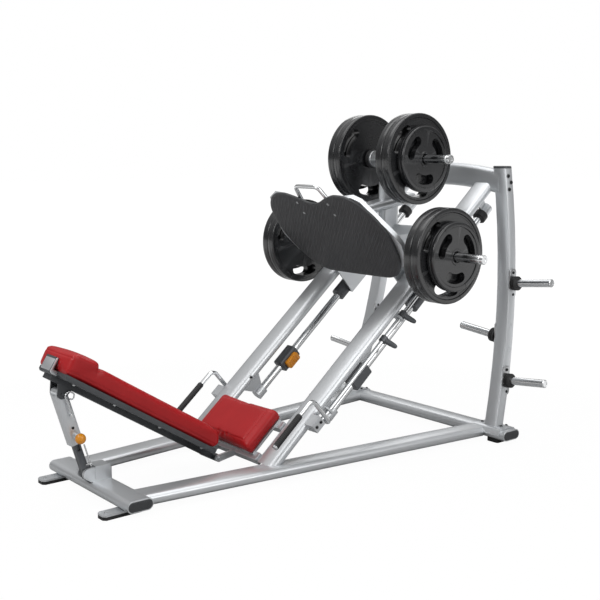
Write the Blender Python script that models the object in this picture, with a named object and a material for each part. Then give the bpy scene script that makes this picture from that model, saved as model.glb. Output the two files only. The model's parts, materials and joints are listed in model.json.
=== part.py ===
"""Plate-loaded leg press with a reclining back rest, a sliding carriage and loaded weight plates.

Metres, +Z up. X runs from the head end of the back rest to the rear uprights, Y across the machine
(left is +Y), and the floor is Z = 0. The origin ends up under the middle of the whole machine.
Pieces on the incline are drawn in its own axes: S up the slope, Y across, N square to the slope.
"""

import math

import bmesh
import bpy
from mathutils import Matrix, Vector

# --- Driving dimensions -----------------------------------------------------------------------------
GAP = 0.0003            # between pieces that touch
RUN_FIT = 0.0008        # radial play of sliding and turning fits
OPEN_PIVOT = 0.0080     # radial play of the strut's upper eye

# Flat-oval frame tube
TUBE_WIDE = 0.120
TUBE_HIGH = 0.050
TUBE_WALL = 0.003
CAP_FLANGE = 0.008
CAP_SPIGOT = 0.025

# Base
FOOT_TAB = 0.006        # thickness of the welded front foot tabs
FOOT_PAD = 0.0137
FRONT_TUBE_HALF = 0.355  # over the end caps
REAR_TUBE_HALF = 0.645   # over the end caps
BASE_LENGTH = 1.930      # front tube centre to rear tube centre
RAIL_FRONT_Y = 0.260
RAIL_REAR_Y = 0.467
TAB_Y = 0.275
TAB_WIDE = 0.062
TAB_REACH = 0.140        # how far the front tabs stand out ahead of the tube centre
REAR_PAD_Y = 0.555

# Rear uprights and the arched top tube
UPRIGHT_DEEP = 0.060     # along X
UPRIGHT_WIDE = 0.080     # along Y
UPRIGHT_CORNER = 0.012
UPRIGHT_TOP = 1.352
UPRIGHT_FOOT_Y = 0.527
UPRIGHT_TOP_Y = 0.400
UPRIGHT_LEAN_X = 0.165   # how far the top stands behind the foot
UPRIGHT_BOW = 0.062      # how far the middle bows to the rear
SADDLE_THICK = 0.006
SADDLE_LONG = 0.175
TOP_TUBE_DROP = 0.050    # top tube centre below the top of the uprights
TOP_TUBE_ARCH = 0.040

# Incline
COLUMN_FOOT_X = 0.660
COLUMN_Y = 0.291
COLUMN_MEET_DROP = 0.0336403   # column's middle below the top tube's middle where they meet
COLUMN_PAST = 0.001      # up the slope past the top tube's middle, which trims it
COLUMN_BELOW = 0.120     # down past the base, which trims it too
ROD_Y = 0.272
ROD_DROP = 0.119         # rod centre below the column centre
ROD_D = 0.038
ROD_LOW = 0.410
ROD_HIGH = 1.830
BUMPER_LONG = 0.040
BUMPER_D = ROD_D + 0.032
BOSS_D = ROD_D + 0.020
BOSS_LONG = 0.050

# Turning lock shafts
LOCK_Y = 0.335
LOCK_N = -0.055
LOCK_D = 0.022
LOCK_LOW = 0.345
LOCK_HIGH = 1.540
PEG_LONG = 0.075
PEG_D = 0.028
PEG_STARTS = (0.848, 1.012, 1.176)
PEG_LEAN = math.radians(55)   # outward from straight down the N axis
HANDLE_N = 0.104
HANDLE_Y = 0.390
HANDLE_LOW = 0.070
HANDLE_D = 0.022
GRIP_D = HANDLE_D + 0.008
GRIP_LONG = 0.190
HANGERS = (0.400, 0.985, 1.510)

# Adjustable safety stops on the rods
STOP_LOW = 0.595
STOP_LONG = 0.120
STOP_SIZE = ROD_D + 0.028

# Seat
SEAT_LOW = 0.022
SEAT_LONG = 0.235
SEAT_WIDE = 0.430
SEAT_THICK = 0.066
SEAT_TOP_N = 0.104
SEAT_BOARD = 0.012
SEAT_TUBE = 0.040

# Back rest
HINGE_X = 0.570
HINGE_Z = 0.058
BACK_ANGLE = math.radians(32.0)
BACK_WIDE = 0.270
BACK_LOW = 0.068
BACK_LONG = 0.862
BACK_TOP = 0.107        # sitting face above the hinge axis
BACK_THICK = 0.078
BACK_BOARD = 0.022
SPINE_LOW = -0.016
SPINE_WIDE = 0.070
HEAD_LONG = 0.138
HEAD_RISE = 0.018
HEAD_BRACKET = 0.014     # how far the end bracket stands beyond the pad
HINGE_PIN_D = 0.016
HINGE_EYE_D = 0.034
HINGE_LUG_Y = 0.060      # inner faces of the seat's lugs, about
HINGE_LUG_THICK = 0.012

# Strut under the back rest
STRUT_BAR = 0.030
STRUT_TUBE = STRUT_BAR + 0.028
STRUT_FOOT_X = -0.060
STRUT_FOOT_Z = 0.104
STRUT_PIVOT_T = 0.841    # along the back rest from its hinge
STRUT_PIVOT_M = -0.046   # below the hinge axis
STRUT_OVER = 0.002       # tube beyond the upper pivot
STRUT_TRAVEL = 0.066     # of the pull pin each way in the slot of the bar
PULL_PIN_D = 0.012
PULL_PIN_UP = 0.035      # above the lower end of the tube
UPPER_PIN_D = 0.012
FOOT_PIN_D = 0.018
CLEVIS_THICK = 0.016
STRUT_TUBE_LONG = 0.233
STRUT_SPARE = 0.090      # from the top of the bar to the upper pivot
KNOB_D = 0.046

# Carriage
PLATE_S = 1.135          # front face of the foot plate, up the slope
PLATE_HALF_WIDE = 0.402
PLATE_LOW_N = 0.052
PLATE_HIGH_N = 0.588
PLATE_THICK = 0.014
BACKING_THICK = 0.022
CHEEK_Y = 0.217          # middle of the cheek plates inside the columns
CHEEK_THICK = 0.010
BEARING_LOW = 1.115
BEARING_HIGH = 1.620
BEARING_D = ROD_D + 0.034
BEARING_END = 0.110      # length of each thick end of a bearing sleeve
UPPER_HORN = (1.660, 0.363)   # S and N of its axis
LOWER_HORN = (1.256, 0.126)
HORN_D = 0.044
UPPER_HORN_TIP = 0.424
LOWER_HORN_TIP = 0.777
UPPER_PLATES_Y = 0.1315
LOWER_PLATES_Y = 0.4860
FLANGE_D = HORN_D + 0.052
FLANGE_THICK = 0.034
HANDLE_BAR_D = 0.020
HANDLE_HALF = 0.084      # foot handle, at its top corners
HANDLE_FOOT_HALF = 0.108
HANDLE_FOOT_N = 0.502
HANDLE_TOP_N = 0.622
UPPER_HUB_D = HORN_D + 0.040
LOWER_HUB_D = HORN_D + 0.028

# Weight plates
BIG_D = 0.450
BIG_THICK = 0.0445
SMALL_D = 0.325
SMALL_THICK = 0.040
PLATE_PLAY = 0.0032       # radial, round the horn
PLATE_BORE = HORN_D + 2 * PLATE_PLAY

# Storage horns on the uprights: height, which way they point, length past the upright
STORE_D = 0.040
STORE_TILT = math.radians(6)
STORE_LONG = 0.240
STORE_HEIGHTS = {"upper": (0.777, 1), "inner": (0.505, -1), "lower": (0.297, 1)}

BASE_Z = GAP + FOOT_PAD + FOOT_TAB + TUBE_HIGH / 2
UPRIGHT_FOOT_Z = BASE_Z + TUBE_HIGH / 2 + GAP + SADDLE_THICK / 2
SIDES = (("left", 1), ("right", -1))
TOP_TUBE_X = BASE_LENGTH + UPRIGHT_LEAN_X - 0.004
TOP_TUBE_Z = UPRIGHT_TOP + TOP_TUBE_ARCH / 2 - TOP_TUBE_DROP
MEET_RUN = TOP_TUBE_X - COLUMN_FOOT_X
MEET_RISE = TOP_TUBE_Z - TOP_TUBE_ARCH * (COLUMN_Y / UPRIGHT_TOP_Y) ** 2 - COLUMN_MEET_DROP - BASE_Z
SLOPE = math.atan2(MEET_RISE, MEET_RUN)
COLUMN_LONG = math.hypot(MEET_RUN, MEET_RISE) + COLUMN_PAST


# --- Helpers ----------------------------------------------------------------------------------------
def clear_scene():
    for obj in list(bpy.data.objects):
        bpy.data.objects.remove(obj, do_unlink=True)


def material(name, colour, roughness, metallic):
    made = bpy.data.materials.get(name)
    if made:
        return made
    made = bpy.data.materials.new(name)
    made.use_nodes = True
    shader = made.node_tree.nodes["Principled BSDF"]
    shader.inputs["Base Color"].default_value = (*colour, 1)
    shader.inputs["Roughness"].default_value = roughness
    shader.inputs["Metallic"].default_value = metallic
    made.diffuse_color = (*colour, 1)
    return made


def frame_paint():
    return material("frame_paint", (0.62, 0.64, 0.66), 0.35, 0.6)


def dark_paint():
    return material("dark_paint", (0.09, 0.10, 0.11), 0.45, 0.3)


def rubber():
    return material("rubber", (0.03, 0.03, 0.03), 0.8, 0.0)


def chrome():
    return material("chrome", (0.8, 0.8, 0.82), 0.12, 1.0)


def plastic():
    return material("cap_plastic", (0.06, 0.065, 0.07), 0.6, 0.0)


def orange():
    return material("orange_plastic", (0.85, 0.32, 0.03), 0.4, 0.0)


def upholstery():
    return material("red_vinyl", (0.35, 0.02, 0.02), 0.5, 0.0)


def plate_rubber():
    return material("plate_rubber", (0.05, 0.05, 0.055), 0.55, 0.0)


def add(name, verts, faces, finish=None, place=None):
    """One object from points and faces, with its faces turned outward."""
    mesh = bpy.data.meshes.new(name)
    mesh.from_pydata([tuple(v) for v in verts], [], faces)
    build = bmesh.new()
    build.from_mesh(mesh)
    bmesh.ops.recalc_face_normals(build, faces=build.faces)
    build.to_mesh(mesh)
    build.free()
    mesh.shade_smooth()
    mesh.set_sharp_from_angle(angle=math.radians(35))
    obj = bpy.data.objects.new(name, mesh)
    bpy.context.scene.collection.objects.link(obj)
    if finish:
        mesh.materials.append(finish)
    if place:
        obj.parent = place
    return obj


def helper(obj):
    obj.hide_render = True
    obj.display_type = "WIRE"
    return obj


def boolean(obj, other, operation):
    helper(other)
    step = obj.modifiers.new(other.name, "BOOLEAN")
    step.operation = operation
    step.solver = "EXACT"
    step.object = other


def cut(obj, *others):
    for other in others:
        boolean(obj, other, "DIFFERENCE")


def weld(obj, *others):
    for other in others:
        boolean(obj, other, "UNION")


def oval(wide, high, steps=6):
    """Outline of a flat oval: wide along its first axis, with half-round ends."""
    radius = min(wide, high) / 2
    long_first = wide >= high
    half = abs(wide - high) / 2
    points = []
    for side in (1, -1):
        for i in range(steps + 1):
            a = -math.pi / 2 + math.pi * i / steps
            p = (side * (half + radius * math.cos(a)), side * radius * math.sin(a))
            points.append(p if long_first else (-p[1], p[0]))
    return points


def rounded(wide, high, corner, steps=2):
    """Outline of a rectangle with round corners."""
    points = []
    for cx, cy, start in ((1, -1, -90), (1, 1, 0), (-1, 1, 90), (-1, -1, 180)):
        for i in range(steps + 1):
            a = math.radians(start + 90 * i / steps)
            points.append((cx * (wide / 2 - corner) + corner * math.cos(a),
                           cy * (high / 2 - corner) + corner * math.sin(a)))
    return points


def circle(diameter, steps=16):
    return [(diameter / 2 * math.cos(2 * math.pi * i / steps), diameter / 2 * math.sin(2 * math.pi * i / steps))
            for i in range(steps)]


def skin(name, rings, inner_rings=None, finish=None, place=None):
    """A closed body through rings of points; with inner rings it is an open-ended tube."""
    count = len(rings[0])
    shells = [rings] + ([inner_rings] if inner_rings else [])
    verts = [p for shell in shells for ring in shell for p in ring]
    faces = []
    for index, shell in enumerate(shells):
        base = index * len(rings) * count
        for r in range(len(shell) - 1):
            for i in range(count):
                j = (i + 1) % count
                a = base + r * count
                faces.append((a + i, a + j, a + count + j, a + count + i))
    last = (len(rings) - 1) * count
    if inner_rings:
        inner = len(rings) * count
        for end in (0, last):
            for i in range(count):
                j = (i + 1) % count
                faces.append((end + i, end + j, inner + end + j, inner + end + i))
    else:
        faces.append(tuple(range(count)))
        faces.append(tuple(last + i for i in range(count)))
    return add(name, verts, faces, finish, place)


def ring_at(outline, centre, u, v):
    centre, u, v = Vector(centre), Vector(u), Vector(v)
    return [centre + u * a + v * b for a, b in outline]


def along(name, start, end, outline, u, v, inner=None, finish=None, place=None):
    """A straight bar or tube of one outline."""
    rings = [ring_at(outline, p, u, v) for p in (start, end)]
    inner_rings = [ring_at(inner, p, u, v) for p in (start, end)] if inner else None
    return skin(name, rings, inner_rings, finish, place)


def turned(name, axis_start, axis, profile, finish=None, place=None, steps=16):
    """A solid of revolution; the profile lists (distance along the axis, radius), none at the axis."""
    axis = Vector(axis).normalized()
    u = axis.orthogonal().normalized()
    v = axis.cross(u)
    rings = [ring_at(circle(2 * r, steps), Vector(axis_start) + axis * d, u, v) for d, r in profile]
    return skin(name, rings, None, finish, place)


def ring_turned(name, axis_start, axis, profile, finish=None, place=None, steps=20):
    """A solid of revolution with a hole: the profile is a closed loop of (distance, radius)."""
    axis = Vector(axis).normalized()
    u = axis.orthogonal().normalized()
    v = axis.cross(u)
    verts = []
    for i in range(steps):
        a = 2 * math.pi * i / steps
        out = u * math.cos(a) + v * math.sin(a)
        verts += [Vector(axis_start) + axis * d + out * r for d, r in profile]
    count = len(profile)
    faces = []
    for i in range(steps):
        k = (i + 1) % steps
        for p in range(count):
            q = (p + 1) % count
            faces.append((i * count + p, i * count + q, k * count + q, k * count + p))
    return add(name, verts, faces, finish, place)


def block(name, low, high, finish=None, place=None):
    """A plain box between two corners."""
    (x0, y0, z0), (x1, y1, z1) = low, high
    outline = [(x0, z0), (x1, z0), (x1, z1), (x0, z1)]
    return slab(name, outline, y0, y1, finish, place)


def slab(name, outline, y0, y1, finish=None, place=None):
    """An outline in the X-Z plane (or S-N), thickened from y0 to y1."""
    rings = [[Vector((a, y, b)) for a, b in outline] for y in (y0, y1)]
    return skin(name, rings, None, finish, place)


def bent_bar(name, points, diameter, bend, finish=None, place=None, steps=10, arc=4):
    """A round bar through corner points, with each corner bent to a radius."""
    points = [Vector(p) for p in points]
    path = [points[0]]
    for before, corner, after in zip(points, points[1:], points[2:]):
        a = (before - corner).normalized()
        b = (after - corner).normalized()
        half = a.angle(b) / 2
        reach = bend / math.tan(half)
        centre = corner + (a + b).normalized() * (bend / math.sin(half))
        first, last = corner + a * reach - centre, corner + b * reach - centre
        turn = first.angle(last)
        axis = first.cross(last).normalized()
        for i in range(arc + 1):
            path.append(centre + Matrix.Rotation(turn * i / arc, 3, axis) @ first)
    path.append(points[-1])
    rings = []
    heading = (path[1] - path[0]).normalized()
    side = heading.orthogonal().normalized()
    for i, p in enumerate(path):
        new = (path[min(i + 1, len(path) - 1)] - path[max(i - 1, 0)]).normalized()
        side = (side - new * side.dot(new)).normalized()
        rings.append(ring_at(circle(diameter, steps), p, side, new.cross(side)))
    return skin(name, rings, None, finish, place)


X, Y, Z = Vector((1, 0, 0)), Vector((0, 1, 0)), Vector((0, 0, 1))


def frame_tube(name, start, end, u, v, finish, place=None):
    outer = oval(TUBE_WIDE, TUBE_HIGH)
    inner = oval(TUBE_WIDE - 2 * TUBE_WALL, TUBE_HIGH - 2 * TUBE_WALL)
    return along(name, start, end, outer, u, v, inner, finish, place)


def grown_tube(name, start, end, u, v, place=None):
    """The space a frame tube needs in its neighbour."""
    outline = oval(TUBE_WIDE + 2 * GAP, TUBE_HIGH + 2 * GAP)
    return helper(along(name, start, end, outline, u, v, None, None, place))


# --- Base -------------------------------------------------------------------------------------------
def front_tube():
    half = FRONT_TUBE_HALF - CAP_FLANGE - GAP
    tube = frame_tube("front_cross_tube", (0, -half, BASE_Z), (0, half, BASE_Z), X, Z, frame_paint())
    low = GAP + FOOT_PAD
    for name, side in SIDES:
        y0, y1 = side * TAB_Y - TAB_WIDE / 2, side * TAB_Y + TAB_WIDE / 2
        lift = TUBE_WALL / 2
        corner = 0.012
        outline = [(-TAB_REACH + corner, y0), (0.030, y0), (0.030, y1), (-TAB_REACH + corner, y1),
                   (-TAB_REACH, y1 - corner), (-TAB_REACH, y0 + corner)]
        rings = [[Vector((a, b, z)) for a, b in outline] for z in (low, low + FOOT_TAB + lift)]
        weld(tube, skin(f"tab_{name}", rings))
        pad = [(a + 0.0004 * (1 if a < 0 else -1), b) for a, b in outline]
        rings = [[Vector((a, b, z)) for a, b in pad] for z in (0, FOOT_PAD)]
        skin(f"foot_pad_front_{name}", rings, None, rubber())
    return tube


def end_cap(name, centre, half, side):
    """A plug with a flange: the spigot fits inside the tube."""
    face = side * half
    spigot = oval(TUBE_WIDE - 2 * TUBE_WALL - 2 * GAP, TUBE_HIGH - 2 * TUBE_WALL - 2 * GAP)
    flange = oval(TUBE_WIDE, TUBE_HIGH)
    crown = oval(TUBE_WIDE - 0.006, TUBE_HIGH - 0.006)
    steps = ((face - side * (CAP_FLANGE + CAP_SPIGOT), spigot), (face - side * CAP_FLANGE, spigot),
             (face - side * CAP_FLANGE, flange), (face - side * 0.002, flange), (face, crown))
    rings = [ring_at(outline, (centre, y, BASE_Z), X, Z) for y, outline in steps]
    return skin(name, rings, None, plastic())


def side_rails():
    length = BASE_LENGTH
    for name, side in SIDES:
        start = Vector((0, side * RAIL_FRONT_Y, BASE_Z))
        end = Vector((length, side * RAIL_REAR_Y, BASE_Z))
        across = (end - start).cross(Z).normalized()
        rail = frame_tube(f"side_rail_{name}", start, end, across, Z, frame_paint())
        reach = 1.5 * TUBE_WIDE
        for tag, x, y in (("front", 0, RAIL_FRONT_Y), ("rear", length, RAIL_REAR_Y)):
            low, high = (x, side * y - reach, BASE_Z), (x, side * y + reach, BASE_Z)
            cut(rail, grown_tube(f"{tag}_seat_{name}", low, high, X, Z))
        around = SADDLE_THICK + 2 * GAP
        outline = oval(TUBE_WIDE + 2 * around, TUBE_HIGH + 2 * around)
        ends = [side * (UPRIGHT_FOOT_Y + k * (SADDLE_LONG / 2 + GAP)) for k in (-1, 1)]
        rings = [ring_at(outline, (length, y, BASE_Z), X, Z) for y in ends]
        cut(rail, skin(f"saddle_space_{name}", rings))


def rear_tube():
    half = REAR_TUBE_HALF - CAP_FLANGE - GAP
    x = BASE_LENGTH
    frame_tube("rear_cross_tube", (x, -half, BASE_Z), (x, half, BASE_Z), X, Z, frame_paint())
    for name, side in SIDES:
        pad = rounded(0.085, 0.070, 0.010)
        top = BASE_Z - TUBE_HIGH / 2 - GAP
        rings = [ring_at(pad, (x, side * REAR_PAD_Y, z), X, Y) for z in (0, top)]
        skin(f"foot_pad_rear_{name}", rings, None, rubber())


def upright_centre(z, side):
    """Middle of an upright at a height: it bows to the rear and leans inward."""
    foot = BASE_Z + TUBE_HIGH / 2
    t = (z - foot) / (UPRIGHT_TOP - foot)
    bow = 4 * UPRIGHT_BOW * t * (1 - t)
    x = BASE_LENGTH + UPRIGHT_LEAN_X * t + bow
    y = UPRIGHT_FOOT_Y + (UPRIGHT_TOP_Y - UPRIGHT_FOOT_Y) * t
    return Vector((x, side * y, z))


def upright_rings(outline, low, high, side, steps=9):
    heights = [low + (high - low) * i / steps for i in range(steps + 1)]
    return [ring_at(outline, upright_centre(z, side), X, Y) for z in heights]


def uprights():
    outer = rounded(UPRIGHT_DEEP, UPRIGHT_WIDE, UPRIGHT_CORNER)
    inner = rounded(UPRIGHT_DEEP - 2 * TUBE_WALL, UPRIGHT_WIDE - 2 * TUBE_WALL, UPRIGHT_CORNER - TUBE_WALL)
    for name, side in SIDES:
        post = skin(f"upright_{name}", upright_rings(outer, UPRIGHT_FOOT_Z, UPRIGHT_TOP, side),
                    upright_rings(inner, UPRIGHT_FOOT_Z, UPRIGHT_TOP, side), frame_paint())
        weld(post, saddle(name, side))


def saddle(name, side):
    """The bent plate that sits over the rear tube under an upright."""
    outer = oval(TUBE_WIDE + 2 * (GAP + SADDLE_THICK), TUBE_HIGH + 2 * (GAP + SADDLE_THICK))
    inner = oval(TUBE_WIDE + 3 * GAP, TUBE_HIGH + 3 * GAP)
    upper = [p for p in outer if p[1] >= -0.001]
    under = [p for p in inner if p[1] >= -0.001]
    upper.sort(key=lambda p: math.atan2(p[1] + 0.002, p[0]))
    under.sort(key=lambda p: -math.atan2(p[1] + 0.002, p[0]))
    outline = [(BASE_LENGTH + a, BASE_Z + b) for a, b in upper + under]
    middle = side * UPRIGHT_FOOT_Y
    return slab(f"saddle_{name}", outline, middle - SADDLE_LONG / 2, middle + SADDLE_LONG / 2)


def top_tube_centre(y):
    half = UPRIGHT_TOP_Y
    return Vector((TOP_TUBE_X, y, TOP_TUBE_Z - TOP_TUBE_ARCH * (y / half) ** 2))


def top_tube_rings(outline, steps=10):
    reach = UPRIGHT_TOP_Y
    places = [-reach + 2 * reach * i / steps for i in range(steps + 1)]
    return [ring_at(outline, top_tube_centre(y), Z, X) for y in places]


def top_tube():
    outer = oval(TUBE_WIDE, TUBE_HIGH)
    inner = oval(TUBE_WIDE - 2 * TUBE_WALL, TUBE_HIGH - 2 * TUBE_WALL)
    tube = skin("top_cross_tube", top_tube_rings(outer), top_tube_rings(inner), frame_paint())
    grown = rounded(UPRIGHT_DEEP + 2 * GAP, UPRIGHT_WIDE + 2 * GAP, UPRIGHT_CORNER)
    for name, side in SIDES:
        cut(tube, skin(f"upright_space_{name}", upright_rings(grown, UPRIGHT_FOOT_Z, UPRIGHT_TOP, side)))
        fit = 2 * TUBE_WALL + 0.002
        spigot = rounded(UPRIGHT_DEEP - fit, UPRIGHT_WIDE - fit, UPRIGHT_CORNER - TUBE_WALL)
        flange = rounded(UPRIGHT_DEEP, UPRIGHT_WIDE, UPRIGHT_CORNER)
        crown = rounded(UPRIGHT_DEEP - 0.006, UPRIGHT_WIDE - 0.006, UPRIGHT_CORNER - 0.003)
        low, high = UPRIGHT_TOP + GAP, UPRIGHT_TOP + CAP_FLANGE * 1.5
        steps = ((UPRIGHT_TOP - 0.020, spigot), (low, spigot), (low, flange), (high - 0.003, flange), (high, crown))
        rings = [ring_at(outline, upright_centre(z, side), X, Y) for z, outline in steps]
        skin(f"upright_cap_{name}", rings, None, plastic())


# --- Incline ----------------------------------------------------------------------------------------
def incline_axes():
    """An empty at the columns' feet whose X runs up the slope and whose Z is square to it."""
    axes = bpy.data.objects.new("incline_axes", None)
    bpy.context.scene.collection.objects.link(axes)
    axes.location = (COLUMN_FOOT_X, 0, BASE_Z)
    axes.rotation_euler = (0, -SLOPE, 0)
    return axes


def columns(axes):
    for name, side in SIDES:
        y = side * COLUMN_Y
        column = frame_tube(f"incline_column_{name}", (-COLUMN_BELOW, y, 0), (COLUMN_LONG, y, 0), Y, Z, frame_paint(), axes)
        weld(column, *rod_brackets(name, side, axes))
        floor = BASE_Z + TUBE_HIGH / 2 + GAP
        low, high = (COLUMN_FOOT_X - 0.3, y - 0.2, floor - 0.3), (COLUMN_FOOT_X + 0.3, y + 0.2, floor)
        cut(column, block(f"under_column_{name}", low, high))
        outline = oval(TUBE_WIDE + 2 * GAP, TUBE_HIGH + 2 * GAP)
        cut(column, skin(f"top_tube_space_{name}", top_tube_rings(outline)))


def rod_brackets(name, side, axes):
    """Bosses that hold the ends of a guide rod, on webs under the column, and the lock shaft's hangers."""
    y, n = side * ROD_Y, -ROD_DROP
    wall = -TUBE_HIGH / 2 + TUBE_WALL / 2
    made = []
    lower_web = [(ROD_LOW - 0.060, wall), (ROD_LOW + 0.075, wall), (ROD_LOW + BOSS_LONG - 0.012, n + 0.012),
                 (ROD_LOW - 0.002, n + 0.012)]
    clear = ROD_HIGH - BOSS_LONG + 0.0125
    upper_web = [(clear - 0.045, wall), (ROD_HIGH + 0.015, wall), (ROD_HIGH + 0.004, n + 0.012),
                 (clear, n + 0.012), (clear, n + BUMPER_D / 2 + 0.006)]
    for tag, web, low in (("low", lower_web, ROD_LOW - 0.012), ("high", upper_web, ROD_HIGH - BOSS_LONG + 0.012)):
        plate = slab(f"web_{tag}_{name}", web, y - 0.006, y + 0.006, None, axes)
        boss = turned(f"boss_{tag}_{name}", (low, y, n), X, [(0, BOSS_D / 2), (BOSS_LONG, BOSS_D / 2)], None, axes)
        bore_low = ROD_LOW - GAP if tag == "low" else low - 0.05
        bore_high = low + BOSS_LONG + 0.05 if tag == "low" else ROD_HIGH + GAP
        fit = ROD_D / 2 + GAP
        bore = turned(f"bore_{tag}_{name}", (bore_low, y, n), X, [(0, fit), (bore_high - bore_low, fit)], None, axes)
        weld(boss, plate)
        cut(boss, bore)
        made.append(boss)
    for i, s in enumerate(HANGERS):
        made.append(hanger(f"hanger_{i}_{name}", s, side, axes))
    inner, outer = sorted((side * (COLUMN_Y + 0.045), side * (COLUMN_Y + 0.108)))
    made.append(block(f"lever_box_{name}", (0.262, inner, -0.030), (0.322, outer, 0.018), None, axes))
    return made


def hanger(name, s, side, axes):
    """A drilled tab from the column's underside out to the lock shaft."""
    thick = 0.005
    inner, outer = COLUMN_Y + 0.010, LOCK_Y + 0.018
    wall = -TUBE_HIGH / 2 + TUBE_WALL / 2
    outline = [(inner, wall), (COLUMN_Y + 0.036, wall), (outer, LOCK_N + 0.010), (outer, LOCK_N - 0.016),
               (LOCK_Y - 0.018, LOCK_N - 0.016), (inner, LOCK_N + 0.012)]
    rings = [[Vector((a, side * b, c)) for b, c in outline] for a in (s - thick, s + thick)]
    tab = skin(name, rings, None, None, axes)
    hole = LOCK_D / 2 + RUN_FIT
    cut(tab, turned(f"{name}_hole", (s - 0.02, side * LOCK_Y, LOCK_N), X, [(0, hole), (0.04, hole)], None, axes))
    return tab


def guide_rods(axes):
    for name, side in SIDES:
        y, n = side * ROD_Y, -ROD_DROP
        turned(f"guide_rod_{name}", (ROD_LOW, y, n), X, [(0, ROD_D / 2), (ROD_HIGH - ROD_LOW, ROD_D / 2)],
               chrome(), axes)
        high = ROD_HIGH - BOSS_LONG + 0.012 - GAP
        hole = ROD_D / 2 + GAP
        outer = BUMPER_D / 2
        loop = [(0, hole), (0, outer - 0.004), (0.004, outer), (BUMPER_LONG - 0.004, outer),
                (BUMPER_LONG, outer - 0.004), (BUMPER_LONG, hole)]
        ring_turned(f"rod_bumper_{name}", (high - BUMPER_LONG, y, n), X, loop, rubber(), axes)


def lock_shafts(axes):
    """Each turns on its own axis: a shaft with rest pegs and, at its foot, the hand lever."""
    for name, side in SIDES:
        pivot = bpy.data.objects.new(f"lock_axis_{name}", None)
        bpy.context.scene.collection.objects.link(pivot)
        pivot.parent = axes
        pivot.location = (LOCK_LOW, side * LOCK_Y, LOCK_N)
        long = LOCK_HIGH - LOCK_LOW
        shaft = turned(f"lock_shaft_{name}", (-0.012, 0, 0), X, [(0, LOCK_D / 2), (long + 0.012, LOCK_D / 2)],
                       chrome(), pivot, 16)
        down = Vector((0, side * math.sin(PEG_LEAN), -math.cos(PEG_LEAN)))
        for i, s in enumerate(PEG_STARTS):
            peg = turned(f"peg_{i}_{name}", Vector((s - LOCK_LOW, 0, 0)) - down * 0.004, down,
                         [(0, PEG_D / 2), (PEG_LONG * 0.7, PEG_D / 2 * 0.92), (PEG_LONG, PEG_D / 2 * 0.7)],
                         None, pivot, 12)
            weld(shaft, peg)
        rise, out = HANDLE_N - LOCK_N, side * (HANDLE_Y - LOCK_Y)
        path = [(0, 0, -0.004), (0, out, -0.004), (0, out, rise), (HANDLE_LOW - LOCK_LOW, out, rise)]
        lever = bent_bar(f"lever_{name}", path, HANDLE_D, 0.028, None, pivot)
        grip = turned(f"grip_{name}", (HANDLE_LOW - LOCK_LOW - 0.006, out, rise), X,
                      [(0, GRIP_D / 2), (GRIP_LONG, GRIP_D / 2)], None, pivot, 16)
        weld(shaft, lever, grip)


def safety_stops(axes):
    """Clamps that slide on the rods, each with a squeeze grip on its inboard side."""
    for name, side in SIDES:
        y, n, half = side * ROD_Y, -ROD_DROP, STOP_SIZE / 2
        centre = STOP_LOW + STOP_LONG / 2
        pivot = bpy.data.objects.new(f"stop_axis_{name}", None)
        bpy.context.scene.collection.objects.link(pivot)
        pivot.parent = axes
        pivot.location = (centre, y, n)
        body = along(f"safety_stop_{name}", (-STOP_LONG / 2, 0, 0), (STOP_LONG / 2, 0, 0),
                     rounded(STOP_SIZE, STOP_SIZE, 0.010), Y, Z, None, dark_paint(), pivot)
        hole = ROD_D / 2 + RUN_FIT
        cut(body, turned(f"stop_bore_{name}", (-0.1, 0, 0), X, [(0, hole), (0.2, hole)], None, pivot))
        inner = -side * (half - 0.002)
        outer = -side * (half + 0.024)
        outline = rounded(0.084, 0.046, 0.012)
        rings = [[Vector((a, b, c - 0.006)) for a, c in outline] for b in (inner, outer)]
        weld(body, skin(f"stop_grip_{name}", rings, None, None, pivot))


# --- Seat and back rest -----------------------------------------------------------------------------
def seat(axes):
    n0 = SEAT_TOP_N - SEAT_THICK
    half = SEAT_WIDE / 2
    low, high = SEAT_LOW, SEAT_LOW + SEAT_LONG
    outline = rounded(SEAT_LONG, SEAT_THICK, 0.022)
    middle = ((low + high) / 2, (n0 + SEAT_TOP_N) / 2)
    slab("seat_pad", [(middle[0] + a, middle[1] + b) for a, b in outline], -half, half, upholstery(), axes)
    board_top = n0 - GAP
    board = block("seat_frame", (low + 0.012, -half + 0.012, board_top - SEAT_BOARD),
                  (high - 0.012, half - 0.012, board_top), frame_paint(), axes)
    inner = COLUMN_Y - TUBE_WIDE / 2 - GAP
    bar_top = board_top - SEAT_BOARD + 0.001
    for i, s in enumerate((low + 0.012, high - 0.040)):
        corner = (s - SEAT_TUBE / 2, -inner, bar_top - SEAT_TUBE)
        weld(board, block(f"seat_bar_{i}", corner, (s + SEAT_TUBE / 2, inner, bar_top), None, axes))
    weld(board, *hinge_lugs(low, bar_top, axes))


def hinge_point():
    """The back rest's hinge in slope axes."""
    dx, dz = HINGE_X - COLUMN_FOOT_X, HINGE_Z - BASE_Z
    return (dx * math.cos(SLOPE) + dz * math.sin(SLOPE), -dx * math.sin(SLOPE) + dz * math.cos(SLOPE))


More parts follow.
